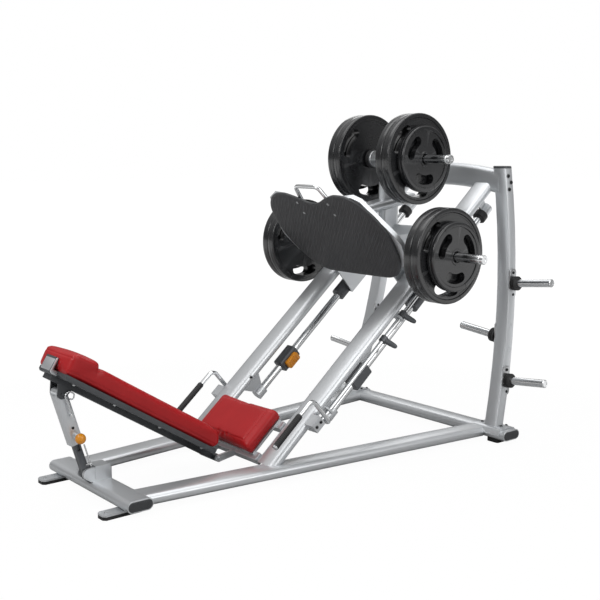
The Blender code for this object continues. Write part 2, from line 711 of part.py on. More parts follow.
def hinge_lugs(low, bar_top, axes):
    """Two lugs from the lower seat bar to the hinge, with the pin between them."""
    s, n = hinge_point()
    made = []
    for i, y in enumerate((-HINGE_LUG_Y - HINGE_LUG_THICK, HINGE_LUG_Y)):
        r = HINGE_EYE_D / 2
        outline = [(low + 0.015, bar_top - 0.004), (low + 0.015, bar_top - SEAT_TUBE + 0.004)]
        for k in range(7):
            a = math.radians(-120 - 30 * k + 20)
            outline.append((s + r * math.cos(a), n + r * math.sin(a)))
        made.append(slab(f"lug_{i}", outline, y, y + HINGE_LUG_THICK, None, axes))
    reach = HINGE_LUG_Y + HINGE_LUG_THICK + 0.006
    pin = turned("hinge_pin", (s, -reach, n), Y, [(0, HINGE_PIN_D / 2), (2 * reach, HINGE_PIN_D / 2)], None, axes, 16)
    return made + [pin]


def back_axes():
    """An empty on the hinge whose X runs up the back rest and whose Z is square to it."""
    axes = bpy.data.objects.new("back_axes", None)
    bpy.context.scene.collection.objects.link(axes)
    axes.location = (HINGE_X, 0, HINGE_Z)
    axes.rotation_euler = (0, -BACK_ANGLE, math.pi)
    return axes


def back_rest(axes):
    """T runs from the hinge towards the head, M is square to the pad."""
    pad_low = BACK_TOP - BACK_THICK
    board_top = pad_low - GAP
    board_low = board_top - BACK_BOARD
    low, high = BACK_LOW, BACK_LOW + BACK_LONG
    half = BACK_WIDE / 2
    outline = [(low + 0.004, board_low + 0.008), (low + 0.012, board_low), (high - 0.030, board_low),
               (high - 0.022, board_low + 0.008), (high - 0.022, board_top), (low + 0.004, board_top)]
    board = slab("back_frame", outline, -half + 0.012, half - 0.012, dark_paint(), axes)
    spine = block("spine", (-0.004, -SPINE_WIDE / 2, SPINE_LOW), (high - 0.010, SPINE_WIDE / 2, board_low + 0.002),
                  None, axes)
    eye_half, eye_r = SPINE_WIDE / 2 + 0.020, HINGE_EYE_D / 2
    eye = turned("hinge_eye", (0, -eye_half, 0), Y, [(0, eye_r), (2 * eye_half, eye_r)], None, axes, 20)
    wide = 0.042
    end = block("head_bracket", (high - 0.026, -wide, board_low), (high + HEAD_BRACKET, wide, board_top - 0.006), None, axes)
    upstand = block("head_upstand", (high + GAP, -wide, board_low), (high + HEAD_BRACKET, wide, pad_low + 0.048), None, axes)
    hole = HINGE_PIN_D / 2 + RUN_FIT
    bore = turned("hinge_bore", (0, -0.1, 0), Y, [(0, hole), (0.2, hole)], None, axes, 16)
    weld(board, spine, eye, end, upstand)
    for i, y in enumerate((-STRUT_TUBE / 2 - 0.008, STRUT_TUBE / 2 + 0.002)):
        outline = [(STRUT_PIVOT_T - 0.030, SPINE_LOW + 0.003), (STRUT_PIVOT_T + 0.040, SPINE_LOW + 0.003)]
        for k in range(7):
            a = math.radians(-20 - 23.3 * k)
            outline.append((STRUT_PIVOT_T + 0.021 * math.cos(a), STRUT_PIVOT_M + 0.021 * math.sin(a)))
        weld(board, slab(f"strut_lug_{i}", outline, y, y + 0.006, None, axes))
    reach = STRUT_TUBE / 2 + 0.012
    weld(board, turned("strut_top_pin", (STRUT_PIVOT_T, -reach, STRUT_PIVOT_M), Y,
                       [(0, UPPER_PIN_D / 2), (2 * reach, UPPER_PIN_D / 2)], None, axes, 12))
    cut(board, bore)
    top = BACK_TOP
    rise = top + HEAD_RISE
    head = high - HEAD_LONG
    outline = [(low + 0.020, pad_low), (high - 0.006, pad_low), (high, pad_low + 0.010), (high, rise - 0.020),
               (high - 0.020, rise), (head + 0.014, rise), (head, top), (low + 0.060, top),
               (low + 0.022, top - 0.012), (low, top - 0.040), (low + 0.006, pad_low + 0.010)]
    slab("back_pad", outline, -half, half, upholstery(), axes)


def back_point(t, m):
    """World place of a point of the back rest."""
    c, s = math.cos(BACK_ANGLE), math.sin(BACK_ANGLE)
    return Vector((HINGE_X - t * c + m * s, 0, HINGE_Z + t * s + m * c))


def strut():
    """The bar pivots on the front tube, the tube slides on it and pivots on the back rest."""
    foot = Vector((STRUT_FOOT_X, 0, STRUT_FOOT_Z))
    top = back_point(STRUT_PIVOT_T, STRUT_PIVOT_M)
    line = (top - foot).normalized()
    across = Y.cross(line).normalized()
    length = (top - foot).length
    axes = bpy.data.objects.new("strut_axes", None)
    bpy.context.scene.collection.objects.link(axes)
    axes.matrix_world = Matrix.Translation(foot) @ Matrix((across, Y, line)).transposed().to_4x4()
    outer = rounded(STRUT_TUBE, STRUT_TUBE, 0.012)
    inner = rounded(STRUT_BAR + 2 * RUN_FIT, STRUT_BAR + 2 * RUN_FIT, 0.003)
    high = length + STRUT_OVER
    low = high - STRUT_TUBE_LONG
    tube = along("strut_tube", (0, 0, low), (0, 0, high), outer, X, Y, inner, frame_paint(), axes)
    lug_half = STRUT_TUBE / 2 - 0.0005
    lug = turned("tube_lug", (0, -lug_half, length), Y, [(0, 0.022), (2 * lug_half, 0.022)], None, axes, 20)
    weld(tube, lug)
    inside = block("tube_inside", (-STRUT_BAR / 2 - RUN_FIT, -STRUT_BAR / 2 - RUN_FIT, low - 0.01),
                   (STRUT_BAR / 2 + RUN_FIT, STRUT_BAR / 2 + RUN_FIT, high + 0.01), None, axes)
    cut(tube, inside)
    eye_hole = UPPER_PIN_D / 2 + OPEN_PIVOT
    cut(tube, turned("tube_lug_bore", (0, -0.1, length), Y, [(0, eye_hole), (0.2, eye_hole)], None, axes, 12))
    pin_z = low + PULL_PIN_UP
    face = -STRUT_TUBE / 2
    barrel = turned("pin_barrel", (0, face + 0.002, pin_z), -Y, [(0, 0.013), (0.020, 0.013)], None, axes, 16)
    weld(tube, barrel)
    hole = PULL_PIN_D / 2 + RUN_FIT
    cut(tube, turned("pin_bore", (0, face - 0.03, pin_z), Y, [(0, hole), (0.045, hole)], None, axes, 12))
    half = STRUT_BAR / 2
    bar = block("strut_bar", (-half, -half, -0.024), (half, half, length - STRUT_SPARE), dark_paint(), axes)
    weld(bar, turned("foot_eye", (0, -half, 0), Y, [(0, 0.017), (STRUT_BAR, 0.017)], None, axes, 20))
    pin_hole = FOOT_PIN_D / 2 + RUN_FIT
    cut(bar, turned("foot_bore", (0, -0.1, 0), Y, [(0, pin_hole), (0.2, pin_hole)], None, axes, 16))
    slot = STRUT_TRAVEL + hole
    cut(bar, block("pin_slot", (-hole, -0.1, pin_z - slot), (hole, -STRUT_BAR / 5, pin_z + slot), None, axes))
    pin = PULL_PIN_D / 2
    profile = [(-0.040, pin), (0, pin), (0, 0.010), (0.008, 0.012), (0.014, KNOB_D / 2 * 0.8),
               (0.026, KNOB_D / 2), (0.038, KNOB_D / 2 * 0.85), (0.046, KNOB_D / 2 * 0.45)]
    knob = turned("strut_knob", (0, 0, 0), -Y, profile, orange(), axes, 20)
    knob.location = (0, face - 0.018 - GAP, pin_z)
    strut_clevis()


def strut_clevis():
    """A block with two lugs and a pin; they are welded to the front tube."""
    tube = bpy.data.objects["front_cross_tube"]
    low = BASE_Z + TUBE_HIGH / 2 - TUBE_WALL / 2
    gap = STRUT_BAR / 2 + 0.003
    thick = CLEVIS_THICK
    outline = [(STRUT_FOOT_X + 0.030, low), (0.046, low), (0.046, 0.118), (0.036, 0.134), (STRUT_FOOT_X + 0.030, 0.134)]
    weld(tube, slab("clevis_block", outline, -gap - thick, gap + thick))
    for i, y in enumerate((-gap - thick + 0.001, gap)):
        outline = [(STRUT_FOOT_X + 0.010, low), (STRUT_FOOT_X + 0.040, low), (STRUT_FOOT_X + 0.040, 0.130)]
        for k in range(6):
            a = math.radians(75 + 30 * k)
            outline.append((STRUT_FOOT_X + 0.024 * math.cos(a), STRUT_FOOT_Z + 0.024 * math.sin(a)))
        weld(tube, slab(f"clevis_{i}", outline, y, y + thick - 0.001))
    pin = turned("clevis_pin", (STRUT_FOOT_X, -gap - 0.005, STRUT_FOOT_Z), Y,
                 [(0, FOOT_PIN_D / 2), (2 * gap + 0.010, FOOT_PIN_D / 2)], None, None, 16)
    weld(tube, pin)


# --- Carriage ---------------------------------------------------------------------------------------
def foot_plate_outline(inset=0.0):
    """Butterfly outline in Y and N: two lobes with a shallow dip between them at the top."""
    half, low, high = PLATE_HALF_WIDE - inset, PLATE_LOW_N + inset, PLATE_HIGH_N - inset
    tall = high - low
    right = [(0.0, high - 0.105 * tall), (0.10 * half, high - 0.098 * tall), (0.26 * half, high - 0.045 * tall),
             (0.42 * half, high - 0.005 * tall), (0.52 * half, high), (0.64 * half, high - 0.012 * tall),
             (0.78 * half, high - 0.07 * tall), (0.90 * half, high - 0.17 * tall), (0.97 * half, high - 0.29 * tall),
             (half, high - 0.42 * tall), (0.99 * half, high - 0.55 * tall), (0.95 * half, high - 0.69 * tall),
             (0.87 * half, high - 0.82 * tall), (0.75 * half, high - 0.93 * tall), (0.60 * half, high - 0.985 * tall),
             (0.40 * half, low)]
    left = [(-y, n) for y, n in reversed(right[1:])]
    return right + left


def backing_outline():
    """The plate behind the foot plate: its outer edges run nearly straight."""
    right = [(0.0, 0.470), (0.14, 0.488), (0.20, 0.560), (0.290, 0.572), (0.335, 0.548), (0.381, 0.439),
             (0.426, 0.339), (0.436, 0.286), (0.400, 0.180), (0.300, 0.090), (0.180, 0.062)]
    return right + [(-y, n) for y, n in reversed(right[1:])]


def cheek_outline():
    s0 = PLATE_S + PLATE_THICK + GAP + BACKING_THICK / 2
    return [(s0, 0.080), (BEARING_LOW + 0.05, -0.020), (BEARING_LOW + 0.05, -ROD_DROP - 0.020),
            (BEARING_HIGH - 0.01, -ROD_DROP - 0.020), (BEARING_HIGH + 0.020, -0.060), (BEARING_HIGH + 0.010, -0.030),
            (1.460, 0.100), (1.390, 0.110), (1.310, 0.180), (s0, 0.330)]


def carriage_frame(axes):
    s0 = PLATE_S + PLATE_THICK + GAP
    rings = [[Vector((s, y, n)) for y, n in backing_outline()] for s in (s0, s0 + BACKING_THICK)]
    frame = skin("carriage_frame", rings, None, frame_paint(), axes)
    for name, side in SIDES:
        y0, y1 = side * CHEEK_Y - CHEEK_THICK / 2, side * CHEEK_Y + CHEEK_THICK / 2
        weld(frame, slab(f"cheek_{name}", cheek_outline(), y0, y1, None, axes))
    half = CHEEK_Y
    for tag, s, n, wide, high in (("low", 1.256, 0.126, 0.080, 0.060), ("middle", 1.430, 0.070, 0.080, 0.050),
                                   ("rear", 1.560, -0.080, 0.080, 0.050)):
        outline = rounded(wide, high, 0.012)
        weld(frame, slab(f"cross_{tag}", [(s + a, n + b) for a, b in outline], -half, half, None, axes))
    weld(frame, spine_brace(axes), horn_post(axes))
    horn_sockets(frame, axes)
    return frame


def spine_brace(axes):
    """The flat-oval brace from the backing plate back to the post."""
    start = Vector((PLATE_S + PLATE_THICK + BACKING_THICK + 0.004, 0, 0.400))
    end = Vector((1.640, 0, 0.120))
    run = (end - start).normalized()
    return along("spine_brace", start, end, oval(TUBE_WIDE, TUBE_HIGH), Y, run.cross(Y), None, None, axes)


def horn_post(axes):
    """Upright in the world, so it leans in slope axes."""
    up = Vector((math.sin(SLOPE), 0, math.cos(SLOPE)))
    ahead = Vector((math.cos(SLOPE), 0, -math.sin(SLOPE)))
    s, n = UPPER_HORN
    top = Vector((s, 0, n)) + up * 0.030
    foot = Vector((s, 0, n)) - up * 0.370
    return along("horn_post", foot, top, oval(TUBE_WIDE, TUBE_HIGH), ahead, Y, None, None, axes)


def horn_sockets(frame, axes):
    """Holes and bosses where the horns pass through the frame."""
    s, n = UPPER_HORN
    half = 0.045
    hub = turned("upper_hub", (s, -half, n), Y, [(0, UPPER_HUB_D / 2), (2 * half, UPPER_HUB_D / 2)], None, axes)
    weld(frame, hub)
    fit = HORN_D / 2 + GAP
    cut(frame, turned("upper_horn_hole", (s, -0.3, n), Y, [(0, fit), (0.6, fit)], None, axes))
    s, n = LOWER_HORN
    for name, side in SIDES:
        start = (s, side * (CHEEK_Y - 0.030), n)
        hub = turned(f"lower_hub_{name}", start, Y * side,
                     [(0, LOWER_HUB_D / 2), (0.095, LOWER_HUB_D / 2)], None, axes)
        weld(frame, hub)
        cut(frame, turned(f"lower_horn_hole_{name}", (s, side * 0.150, n), Y * side, [(0, fit), (0.4, fit)], None, axes))


def weight_horns(axes):
    s, n = UPPER_HORN
    r = HORN_D / 2
    tip = UPPER_HORN_TIP
    bar = turned("weight_horn_upper", (s, -tip, n), Y,
                 [(0, r - 0.003), (0.003, r), (2 * tip - 0.003, r), (2 * tip, r - 0.003)], chrome(), axes)
    for name, side in SIDES:
        weld(bar, horn_flange(f"upper_flange_{name}", s, n, side, UPPER_PLATES_Y, axes))
    s, n = LOWER_HORN
    start = 0.195
    for name, side in SIDES:
        long = LOWER_HORN_TIP - start
        horn = turned(f"weight_horn_{name}", (s, side * start, n), Y * side,
                      [(0, r), (long - 0.003, r), (long, r - 0.003)], chrome(), axes)
        weld(horn, horn_flange(f"lower_flange_{name}", s, n, side, LOWER_PLATES_Y, axes))


def horn_flange(name, s, n, side, plates_y, axes):
    """The collar that the plates bear against."""
    start = plates_y - GAP - FLANGE_THICK
    r = FLANGE_D / 2
    return turned(name, (s, side * start, n), Y * side, [(0, r - 0.002), (0.002, r), (FLANGE_THICK, r)], None, axes)


def weight_plates(axes):
    for level, (s, n), first in (("upper", UPPER_HORN, UPPER_PLATES_Y), ("lower", LOWER_HORN, LOWER_PLATES_Y)):
        for name, side in SIDES:
            y = first
            for tag, size, thick in (("inner", BIG_D, BIG_THICK), ("outer", BIG_D, BIG_THICK),
                                     ("small", SMALL_D, SMALL_THICK)):
                weight_plate(f"plate_{level}_{name}_{tag}", s, n, side, y, size, thick, axes)
                y += thick + GAP


def weight_plate(name, s, n, side, y, size, thick, axes):
    """A disc with a thicker rim and hub and a bore for the horn."""
    bore, rim = PLATE_BORE / 2, size / 2
    edge = 0.008
    loop = [(0, bore), (0, rim - edge), (edge, rim), (thick - edge, rim), (thick, rim - edge), (thick, bore)]
    return ring_turned(name, (s, side * y, n), Y * side, loop, plate_rubber(), axes, 32)


def foot_plate(axes):
    outline = foot_plate_outline()
    rings = [[Vector((s, y, n)) for y, n in outline] for s in (PLATE_S, PLATE_S + PLATE_THICK)]
    skin("foot_plate", rings, None, rubber(), axes)


def foot_handle(axes):
    """A bent bar over the dip of the foot plate, fixed to its back above the backing plate."""
    s = PLATE_S + PLATE_THICK + GAP + HANDLE_BAR_D / 2
    points = [(s, -HANDLE_FOOT_HALF, HANDLE_FOOT_N), (s, -HANDLE_HALF, HANDLE_TOP_N),
              (s, HANDLE_HALF, HANDLE_TOP_N), (s, HANDLE_FOOT_HALF, HANDLE_FOOT_N)]
    bent_bar("foot_handle", points, HANDLE_BAR_D, 0.030, chrome(), axes)


def slide_bearings(axes):
    """A sleeve on each rod with a thick housing at both ends, and a web out to its cheek plate."""
    for name, side in SIDES:
        y, n = side * ROD_Y, -ROD_DROP
        r, waist = BEARING_D / 2, BEARING_D / 2 - 0.010
        long = BEARING_HIGH - BEARING_LOW
        profile = [(0, r), (BEARING_END, r), (BEARING_END, waist), (long - BEARING_END, waist),
                   (long - BEARING_END, r), (long, r)]
        sleeve = turned(f"slide_bearing_{name}", (BEARING_LOW, y, n), X, profile, dark_paint(), axes)
        inner = CHEEK_Y + CHEEK_THICK / 2 + GAP
        for i, s in enumerate((BEARING_LOW + 0.055, BEARING_HIGH - 0.105)):
            lows = (s, min(side * inner, side * ROD_Y), n - 0.024)
            highs = (s + 0.050, max(side * inner, side * ROD_Y), n + 0.024)
            weld(sleeve, block(f"bearing_web_{i}_{name}", lows, highs, None, axes))
        hole = ROD_D / 2 + RUN_FIT
        cut(sleeve, turned(f"bearing_bore_{name}", (BEARING_LOW - 0.1, y, n), X, [(0, hole), (long + 0.2, hole)],
                           None, axes))


# --- Storage horns ----------------------------------------------------------------------------------
def storage_horns():
    for level, (z, way) in STORE_HEIGHTS.items():
        for name, side in SIDES:
            storage_horn(f"storage_horn_{level}_{name}", z, side, side * way)


def storage_horn(name, z, side, out):
    """A horn on a bolted plate; out is +1 or -1 along Y."""
    centre = upright_centre(z, side)
    face = centre.y + out * (UPRIGHT_WIDE / 2 + GAP)
    lean = (UPRIGHT_TOP_Y - UPRIGHT_FOOT_Y) / (UPRIGHT_TOP - BASE_Z - TUBE_HIGH / 2) * side
    high, wide, thick = 0.150, 0.050, 0.010
    rings = []
    for y in (0, out * thick):
        ring = [Vector((centre.x + a, face + y + lean * b, z + b)) for a, b in rounded(wide, high, 0.010)]
        rings.append(ring)
    plate = skin(name, rings, None, chrome())
    run = Vector((0, out * math.cos(STORE_TILT), math.sin(STORE_TILT)))
    lift = 0.0085 if out == side else 0.0145
    start = Vector((centre.x, face, z))
    r = STORE_D / 2
    collar = turned(f"{name}_collar", start, run, [(lift, 0.036), (0.040, 0.036), (0.046, 0.030)], None, None)
    rod = turned(f"{name}_rod", start, run, [(0.020, r), (STORE_LONG - 0.003, r), (STORE_LONG, r - 0.003)], None, None)
    weld(plate, collar, rod)


# --- Placement --------------------------------------------------------------------------------------
def stand_on_origin():
    """Moves the whole machine so that the origin is on the floor under the middle of its length."""
    graph = bpy.context.evaluated_depsgraph_get()
    xs = []
    for obj in bpy.data.objects:
        if obj.type == "MESH" and not obj.hide_render:
            shown = obj.evaluated_get(graph)
            xs += [(shown.matrix_world @ vertex.co).x for vertex in shown.to_mesh().vertices]
            shown.to_mesh_clear()
    middle = (min(xs) + max(xs)) / 2
    for obj in bpy.data.objects:
        if obj.parent is None:
            obj.location.x -= middle


def main():
    clear_scene()
    front_tube()
    side_rails()
    rear_tube()
    for where, x, half in (("front", 0, FRONT_TUBE_HALF), ("rear", BASE_LENGTH, REAR_TUBE_HALF)):
        for name, side in SIDES:
            end_cap(f"base_cap_{where}_{name}", x, half, side)
    uprights()
    top_tube()
    slope = incline_axes()
    columns(slope)
    guide_rods(slope)
    lock_shafts(slope)
    safety_stops(slope)
    seat(slope)
    back_rest(back_axes())
    strut()
    carriage_frame(slope)
    foot_plate(slope)
    foot_handle(slope)
    slide_bearings(slope)
    weight_horns(slope)
    weight_plates(slope)
    storage_horns()
    stand_on_origin()


main()
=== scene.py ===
import json
import math

import bmesh
import bpy
import numpy as np
from mathutils import Matrix, Vector


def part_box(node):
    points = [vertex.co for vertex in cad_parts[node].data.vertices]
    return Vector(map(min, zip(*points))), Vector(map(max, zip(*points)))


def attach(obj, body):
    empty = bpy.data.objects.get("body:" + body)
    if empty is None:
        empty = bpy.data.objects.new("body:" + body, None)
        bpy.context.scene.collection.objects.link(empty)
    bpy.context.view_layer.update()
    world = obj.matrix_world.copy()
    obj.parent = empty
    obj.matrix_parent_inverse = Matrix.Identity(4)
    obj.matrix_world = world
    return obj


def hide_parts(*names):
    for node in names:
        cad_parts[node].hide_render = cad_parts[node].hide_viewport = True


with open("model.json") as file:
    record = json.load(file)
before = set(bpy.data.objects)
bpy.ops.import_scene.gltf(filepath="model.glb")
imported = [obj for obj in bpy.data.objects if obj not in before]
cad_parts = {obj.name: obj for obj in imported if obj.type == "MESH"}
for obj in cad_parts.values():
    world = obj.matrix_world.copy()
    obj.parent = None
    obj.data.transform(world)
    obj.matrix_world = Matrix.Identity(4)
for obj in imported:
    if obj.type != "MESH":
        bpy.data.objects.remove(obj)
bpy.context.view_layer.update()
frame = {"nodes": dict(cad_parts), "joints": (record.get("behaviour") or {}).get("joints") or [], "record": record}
print("leg press: frame loaded,", len(frame["nodes"]), "CAD nodes")

record = frame["record"]
joints = {j["name"]: j for j in frame["joints"]}
mounts = {m["name"]: m for m in record["mounts"]}
sides = (("left", 1), ("right", -1))
across = Vector((0, 1, 0))
upward = Vector((0, 0, 1))


# Directions that the machine is built on
slopeUp = Vector(joints["carriage_slide"]["axis"])  # up the guide rods
slopeOut = Vector((-slopeUp.z, 0, slopeUp.x))  # square to the rods, towards the feet
slopeAxes = Matrix((slopeUp, across, slopeOut)).transposed().to_4x4()
backLean = math.radians(32)
backUp = Vector((-math.cos(backLean), 0, math.sin(backLean)))  # from the hinge to the head
backOut = Vector((math.sin(backLean), 0, math.cos(backLean)))  # out of the sitting face
backAxes = Matrix((backUp, -across, backOut)).transposed().to_4x4()
strutFoot = Vector(joints["strut_turn"]["pos_m"])
strutUp = Vector(joints["strut_extend"]["axis"])
strutAxes = Matrix((across.cross(strutUp), across, strutUp)).transposed().to_4x4()


def localBox(axes, node):
    turned = np.array(axes.to_3x3().transposed())
    points = np.array([v.co for v in frame["nodes"][node].data.vertices]) @ turned.T
    return points.min(0), points.max(0)


# Shader groups shared by the materials

def newGroup(name, inputs, outputs):
    group = bpy.data.node_groups.new(name, "ShaderNodeTree")
    for label, kind, value in inputs:
        socket = group.interface.new_socket(name=label, in_out="INPUT", socket_type=kind)
        socket.default_value = value
    for label, kind in outputs:
        group.interface.new_socket(name=label, in_out="OUTPUT", socket_type=kind)
    return group, group.nodes.new("NodeGroupInput"), group.nodes.new("NodeGroupOutput")


def addNode(tree, kind, **settings):
    node = tree.nodes.new(kind)
    for key, value in settings.items():
        setattr(node, key, value)
    return node


def makeMottleGroup():
    # slow colour drift over a surface, as paint and rubber have
    group, given, out = newGroup(
        "toneDrift",
        [("Light Colour", "NodeSocketColor", (0.6, 0.6, 0.6, 1)),
         ("Dark Colour", "NodeSocketColor", (0.5, 0.5, 0.5, 1)),
         ("Patch Size", "NodeSocketFloat", 6.0),
         ("Contrast", "NodeSocketFloat", 0.5)],
        [("Colour", "NodeSocketColor"), ("Mask", "NodeSocketFloat")])
    place = addNode(group, "ShaderNodeTexCoord")
    noise = addNode(group, "ShaderNodeTexNoise")
    noise.inputs["Detail"].default_value = 5
    noise.inputs["Roughness"].default_value = 0.55
    spread = addNode(group, "ShaderNodeMath", operation="MULTIPLY_ADD")
    centre = addNode(group, "ShaderNodeMath", operation="SUBTRACT")
    centre.inputs[1].default_value = 0.5
    spread.inputs[2].default_value = 0.5
    mix = addNode(group, "ShaderNodeMix", data_type="RGBA")
    link = group.links.new
    link(place.outputs["Object"], noise.inputs["Vector"])
    link(given.outputs["Patch Size"], noise.inputs["Scale"])
    link(noise.outputs["Fac"], centre.inputs[0])
    link(centre.outputs[0], spread.inputs[0])
    link(given.outputs["Contrast"], spread.inputs[1])
    link(spread.outputs[0], mix.inputs["Factor"])
    link(given.outputs["Light Colour"], mix.inputs["A"])
    link(given.outputs["Dark Colour"], mix.inputs["B"])
    link(mix.outputs["Result"], out.inputs["Colour"])
    link(spread.outputs[0], out.inputs["Mask"])
    return group


def makeWearGroup():
    # worn and rubbed corners, from how sharply the surface turns
    group, given, out = newGroup(
        "edgeWear",
        [("Amount", "NodeSocketFloat", 0.3), ("Break Up", "NodeSocketFloat", 40.0)],
        [("Mask", "NodeSocketFloat")])
    shape = addNode(group, "ShaderNodeNewGeometry")
    place = addNode(group, "ShaderNodeTexCoord")
    noise = addNode(group, "ShaderNodeTexNoise")
    noise.inputs["Detail"].default_value = 4
    rim = addNode(group, "ShaderNodeMapRange", interpolation_type="SMOOTHSTEP")
    rim.inputs["From Min"].default_value = 0.52
    rim.inputs["From Max"].default_value = 0.66
    torn = addNode(group, "ShaderNodeMath", operation="MULTIPLY")
    scaled = addNode(group, "ShaderNodeMath", operation="MULTIPLY", use_clamp=True)
    link = group.links.new
    link(place.outputs["Object"], noise.inputs["Vector"])
    link(given.outputs["Break Up"], noise.inputs["Scale"])
    link(shape.outputs["Pointiness"], rim.inputs["Value"])
    link(rim.outputs["Result"], torn.inputs[0])
    link(noise.outputs["Fac"], torn.inputs[1])
    link(torn.outputs[0], scaled.inputs[0])
    link(given.outputs["Amount"], scaled.inputs[1])
    link(scaled.outputs[0], out.inputs["Mask"])
    return group


def makeGrainGroup():
    # raised grain: cells for leather and rubber, fine noise for powder coat
    group, given, out = newGroup(
        "surfaceGrain",
        [("Cell Scale", "NodeSocketFloat", 400.0), ("Fine Scale", "NodeSocketFloat", 900.0),
         ("Cells", "NodeSocketFloat", 0.5)],
        [("Height", "NodeSocketFloat")])
    place = addNode(group, "ShaderNodeTexCoord")
    cells = addNode(group, "ShaderNodeTexVoronoi", feature="SMOOTH_F1")
    cells.inputs["Smoothness"].default_value = 0.4
    fine = addNode(group, "ShaderNodeTexNoise")
    fine.inputs["Detail"].default_value = 3
    mix = addNode(group, "ShaderNodeMix", data_type="FLOAT")
    link = group.links.new
    link(place.outputs["Object"], cells.inputs["Vector"])
    link(place.outputs["Object"], fine.inputs["Vector"])
    link(given.outputs["Cell Scale"], cells.inputs["Scale"])
    link(given.outputs["Fine Scale"], fine.inputs["Scale"])
    link(given.outputs["Cells"], mix.inputs["Factor"])
    link(fine.outputs["Fac"], mix.inputs["A"])
    link(cells.outputs["Distance"], mix.inputs["B"])
    link(mix.outputs["Result"], out.inputs["Height"])
    return group


toneDrift = makeMottleGroup()
edgeWear = makeWearGroup()
surfaceGrain = makeGrainGroup()


def newFinish(name, look):
    # one Principled material; only what changes over the surface comes from the groups
    finish = bpy.data.materials.new(name)
    finish.use_nodes = True
    tree = finish.node_tree
    shader = tree.nodes["Principled BSDF"]
    link = tree.links.new
    light = look["colour"]
    dark = tuple(c * look.get("drift", 0.85) for c in light)
    tone = addNode(tree, "ShaderNodeGroup", node_tree=toneDrift)
    tone.inputs["Light Colour"].default_value = (*light, 1)
    tone.inputs["Dark Colour"].default_value = (*dark, 1)
    tone.inputs["Patch Size"].default_value = look.get("patch", 5.0)
    tone.inputs["Contrast"].default_value = look.get("contrast", 1.2)
    wear = addNode(tree, "ShaderNodeGroup", node_tree=edgeWear)
    wear.inputs["Amount"].default_value = look.get("wear", 0.3)
    worn = addNode(tree, "ShaderNodeMix", data_type="RGBA")
    worn.inputs["B"].default_value = (*look.get("wornColour", light), 1)
    link(wear.outputs["Mask"], worn.inputs["Factor"])
    link(tone.outputs["Colour"], worn.inputs["A"])
    link(worn.outputs["Result"], shader.inputs["Base Color"])
    rough = addNode(tree, "ShaderNodeMapRange")
    low, high = look["roughness"]
    rough.inputs["To Min"].default_value = low
    rough.inputs["To Max"].default_value = high
    link(tone.outputs["Mask"], rough.inputs["Value"])
    link(rough.outputs["Result"], shader.inputs["Roughness"])
    grain = addNode(tree, "ShaderNodeGroup", node_tree=surfaceGrain)
    grain.inputs["Cell Scale"].default_value = look.get("cell", 400.0)
    grain.inputs["Fine Scale"].default_value = look.get("fine", 900.0)
    grain.inputs["Cells"].default_value = look.get("cells", 0.0)
    bump = addNode(tree, "ShaderNodeBump")
    bump.inputs["Strength"].default_value = look.get("bump", 0.1)
    bump.inputs["Distance"].default_value = look.get("bumpDepth", 0.0005)
    link(grain.outputs["Height"], bump.inputs["Height"])
    link(bump.outputs["Normal"], shader.inputs["Normal"])
    shader.inputs["Metallic"].default_value = look.get("metallic", 0.0)
    shader.inputs["Coat Weight"].default_value = look.get("coat", 0.0)
    shader.inputs["Coat Roughness"].default_value = look.get("coatRoughness", 0.1)
    shader.inputs["Sheen Weight"].default_value = look.get("sheen", 0.0)
    shader.inputs["Specular IOR Level"].default_value = look.get("specular", 0.5)
    finish.diffuse_color = (*light, 1)
    return finish


silverPaint = newFinish("silverPaint", {
    "colour": (0.66, 0.68, 0.70), "drift": 0.93, "patch": 4.0, "metallic": 0.72, "roughness": (0.30, 0.42),
    "coat": 0.25, "coatRoughness": 0.12, "fine": 1400.0, "bump": 0.10, "bumpDepth": 0.0002,
    "wear": 0.25, "wornColour": (0.80, 0.81, 0.82)})
darkPaint = newFinish("darkPaint", {
    "colour": (0.070, 0.074, 0.080), "drift": 0.7, "metallic": 0.35, "roughness": (0.34, 0.50),
    "fine": 1100.0, "bump": 0.18, "wear": 0.35, "wornColour": (0.20, 0.21, 0.22)})
greyPaint = newFinish("greyPaint", {
    "colour": (0.115, 0.121, 0.130), "drift": 0.8, "metallic": 0.5, "roughness": (0.34, 0.48),
    "fine": 1100.0, "bump": 0.15, "wear": 0.35, "wornColour": (0.30, 0.31, 0.32)})
capPlastic = newFinish("capPlastic", {
    "colour": (0.060, 0.064, 0.068), "drift": 0.75, "roughness": (0.42, 0.60), "cells": 0.6, "cell": 900.0,
    "bump": 0.25, "wear": 0.3, "wornColour": (0.13, 0.13, 0.14)})
gripRubber = newFinish("gripRubber", {
    "colour": (0.014, 0.014, 0.015), "drift": 0.7, "roughness": (0.42, 0.62), "cells": 0.7, "cell": 1100.0,
    "bump": 0.35, "wear": 0.2, "wornColour": (0.05, 0.05, 0.05)})
treadRubber = newFinish("treadRubber", {
    "colour": (0.042, 0.044, 0.047), "drift": 0.75, "roughness": (0.40, 0.58), "cells": 0.6, "cell": 1000.0,
    "bump": 0.3, "wear": 0.5, "wornColour": (0.10, 0.10, 0.105)})
plateCoat = newFinish("plateCoat", {
    "colour": (0.013, 0.0135, 0.015), "drift": 0.8, "patch": 7.0, "roughness": (0.20, 0.32), "cells": 0.4,
    "cell": 700.0, "bump": 0.08, "coat": 0.5, "coatRoughness": 0.12, "wear": 0.5,
    "wornColour": (0.13, 0.13, 0.135)})
grooveBlack = newFinish("grooveBlack", {
    "colour": (0.006, 0.006, 0.007), "drift": 0.7, "roughness": (0.5, 0.7), "bump": 0.1})
polishedChrome = newFinish("polishedChrome", {
    "colour": (0.80, 0.81, 0.82), "drift": 0.94, "metallic": 1.0, "roughness": (0.11, 0.20), "fine": 700.0,
    "bump": 0.03, "wear": 0.1, "wornColour": (0.86, 0.86, 0.87)})
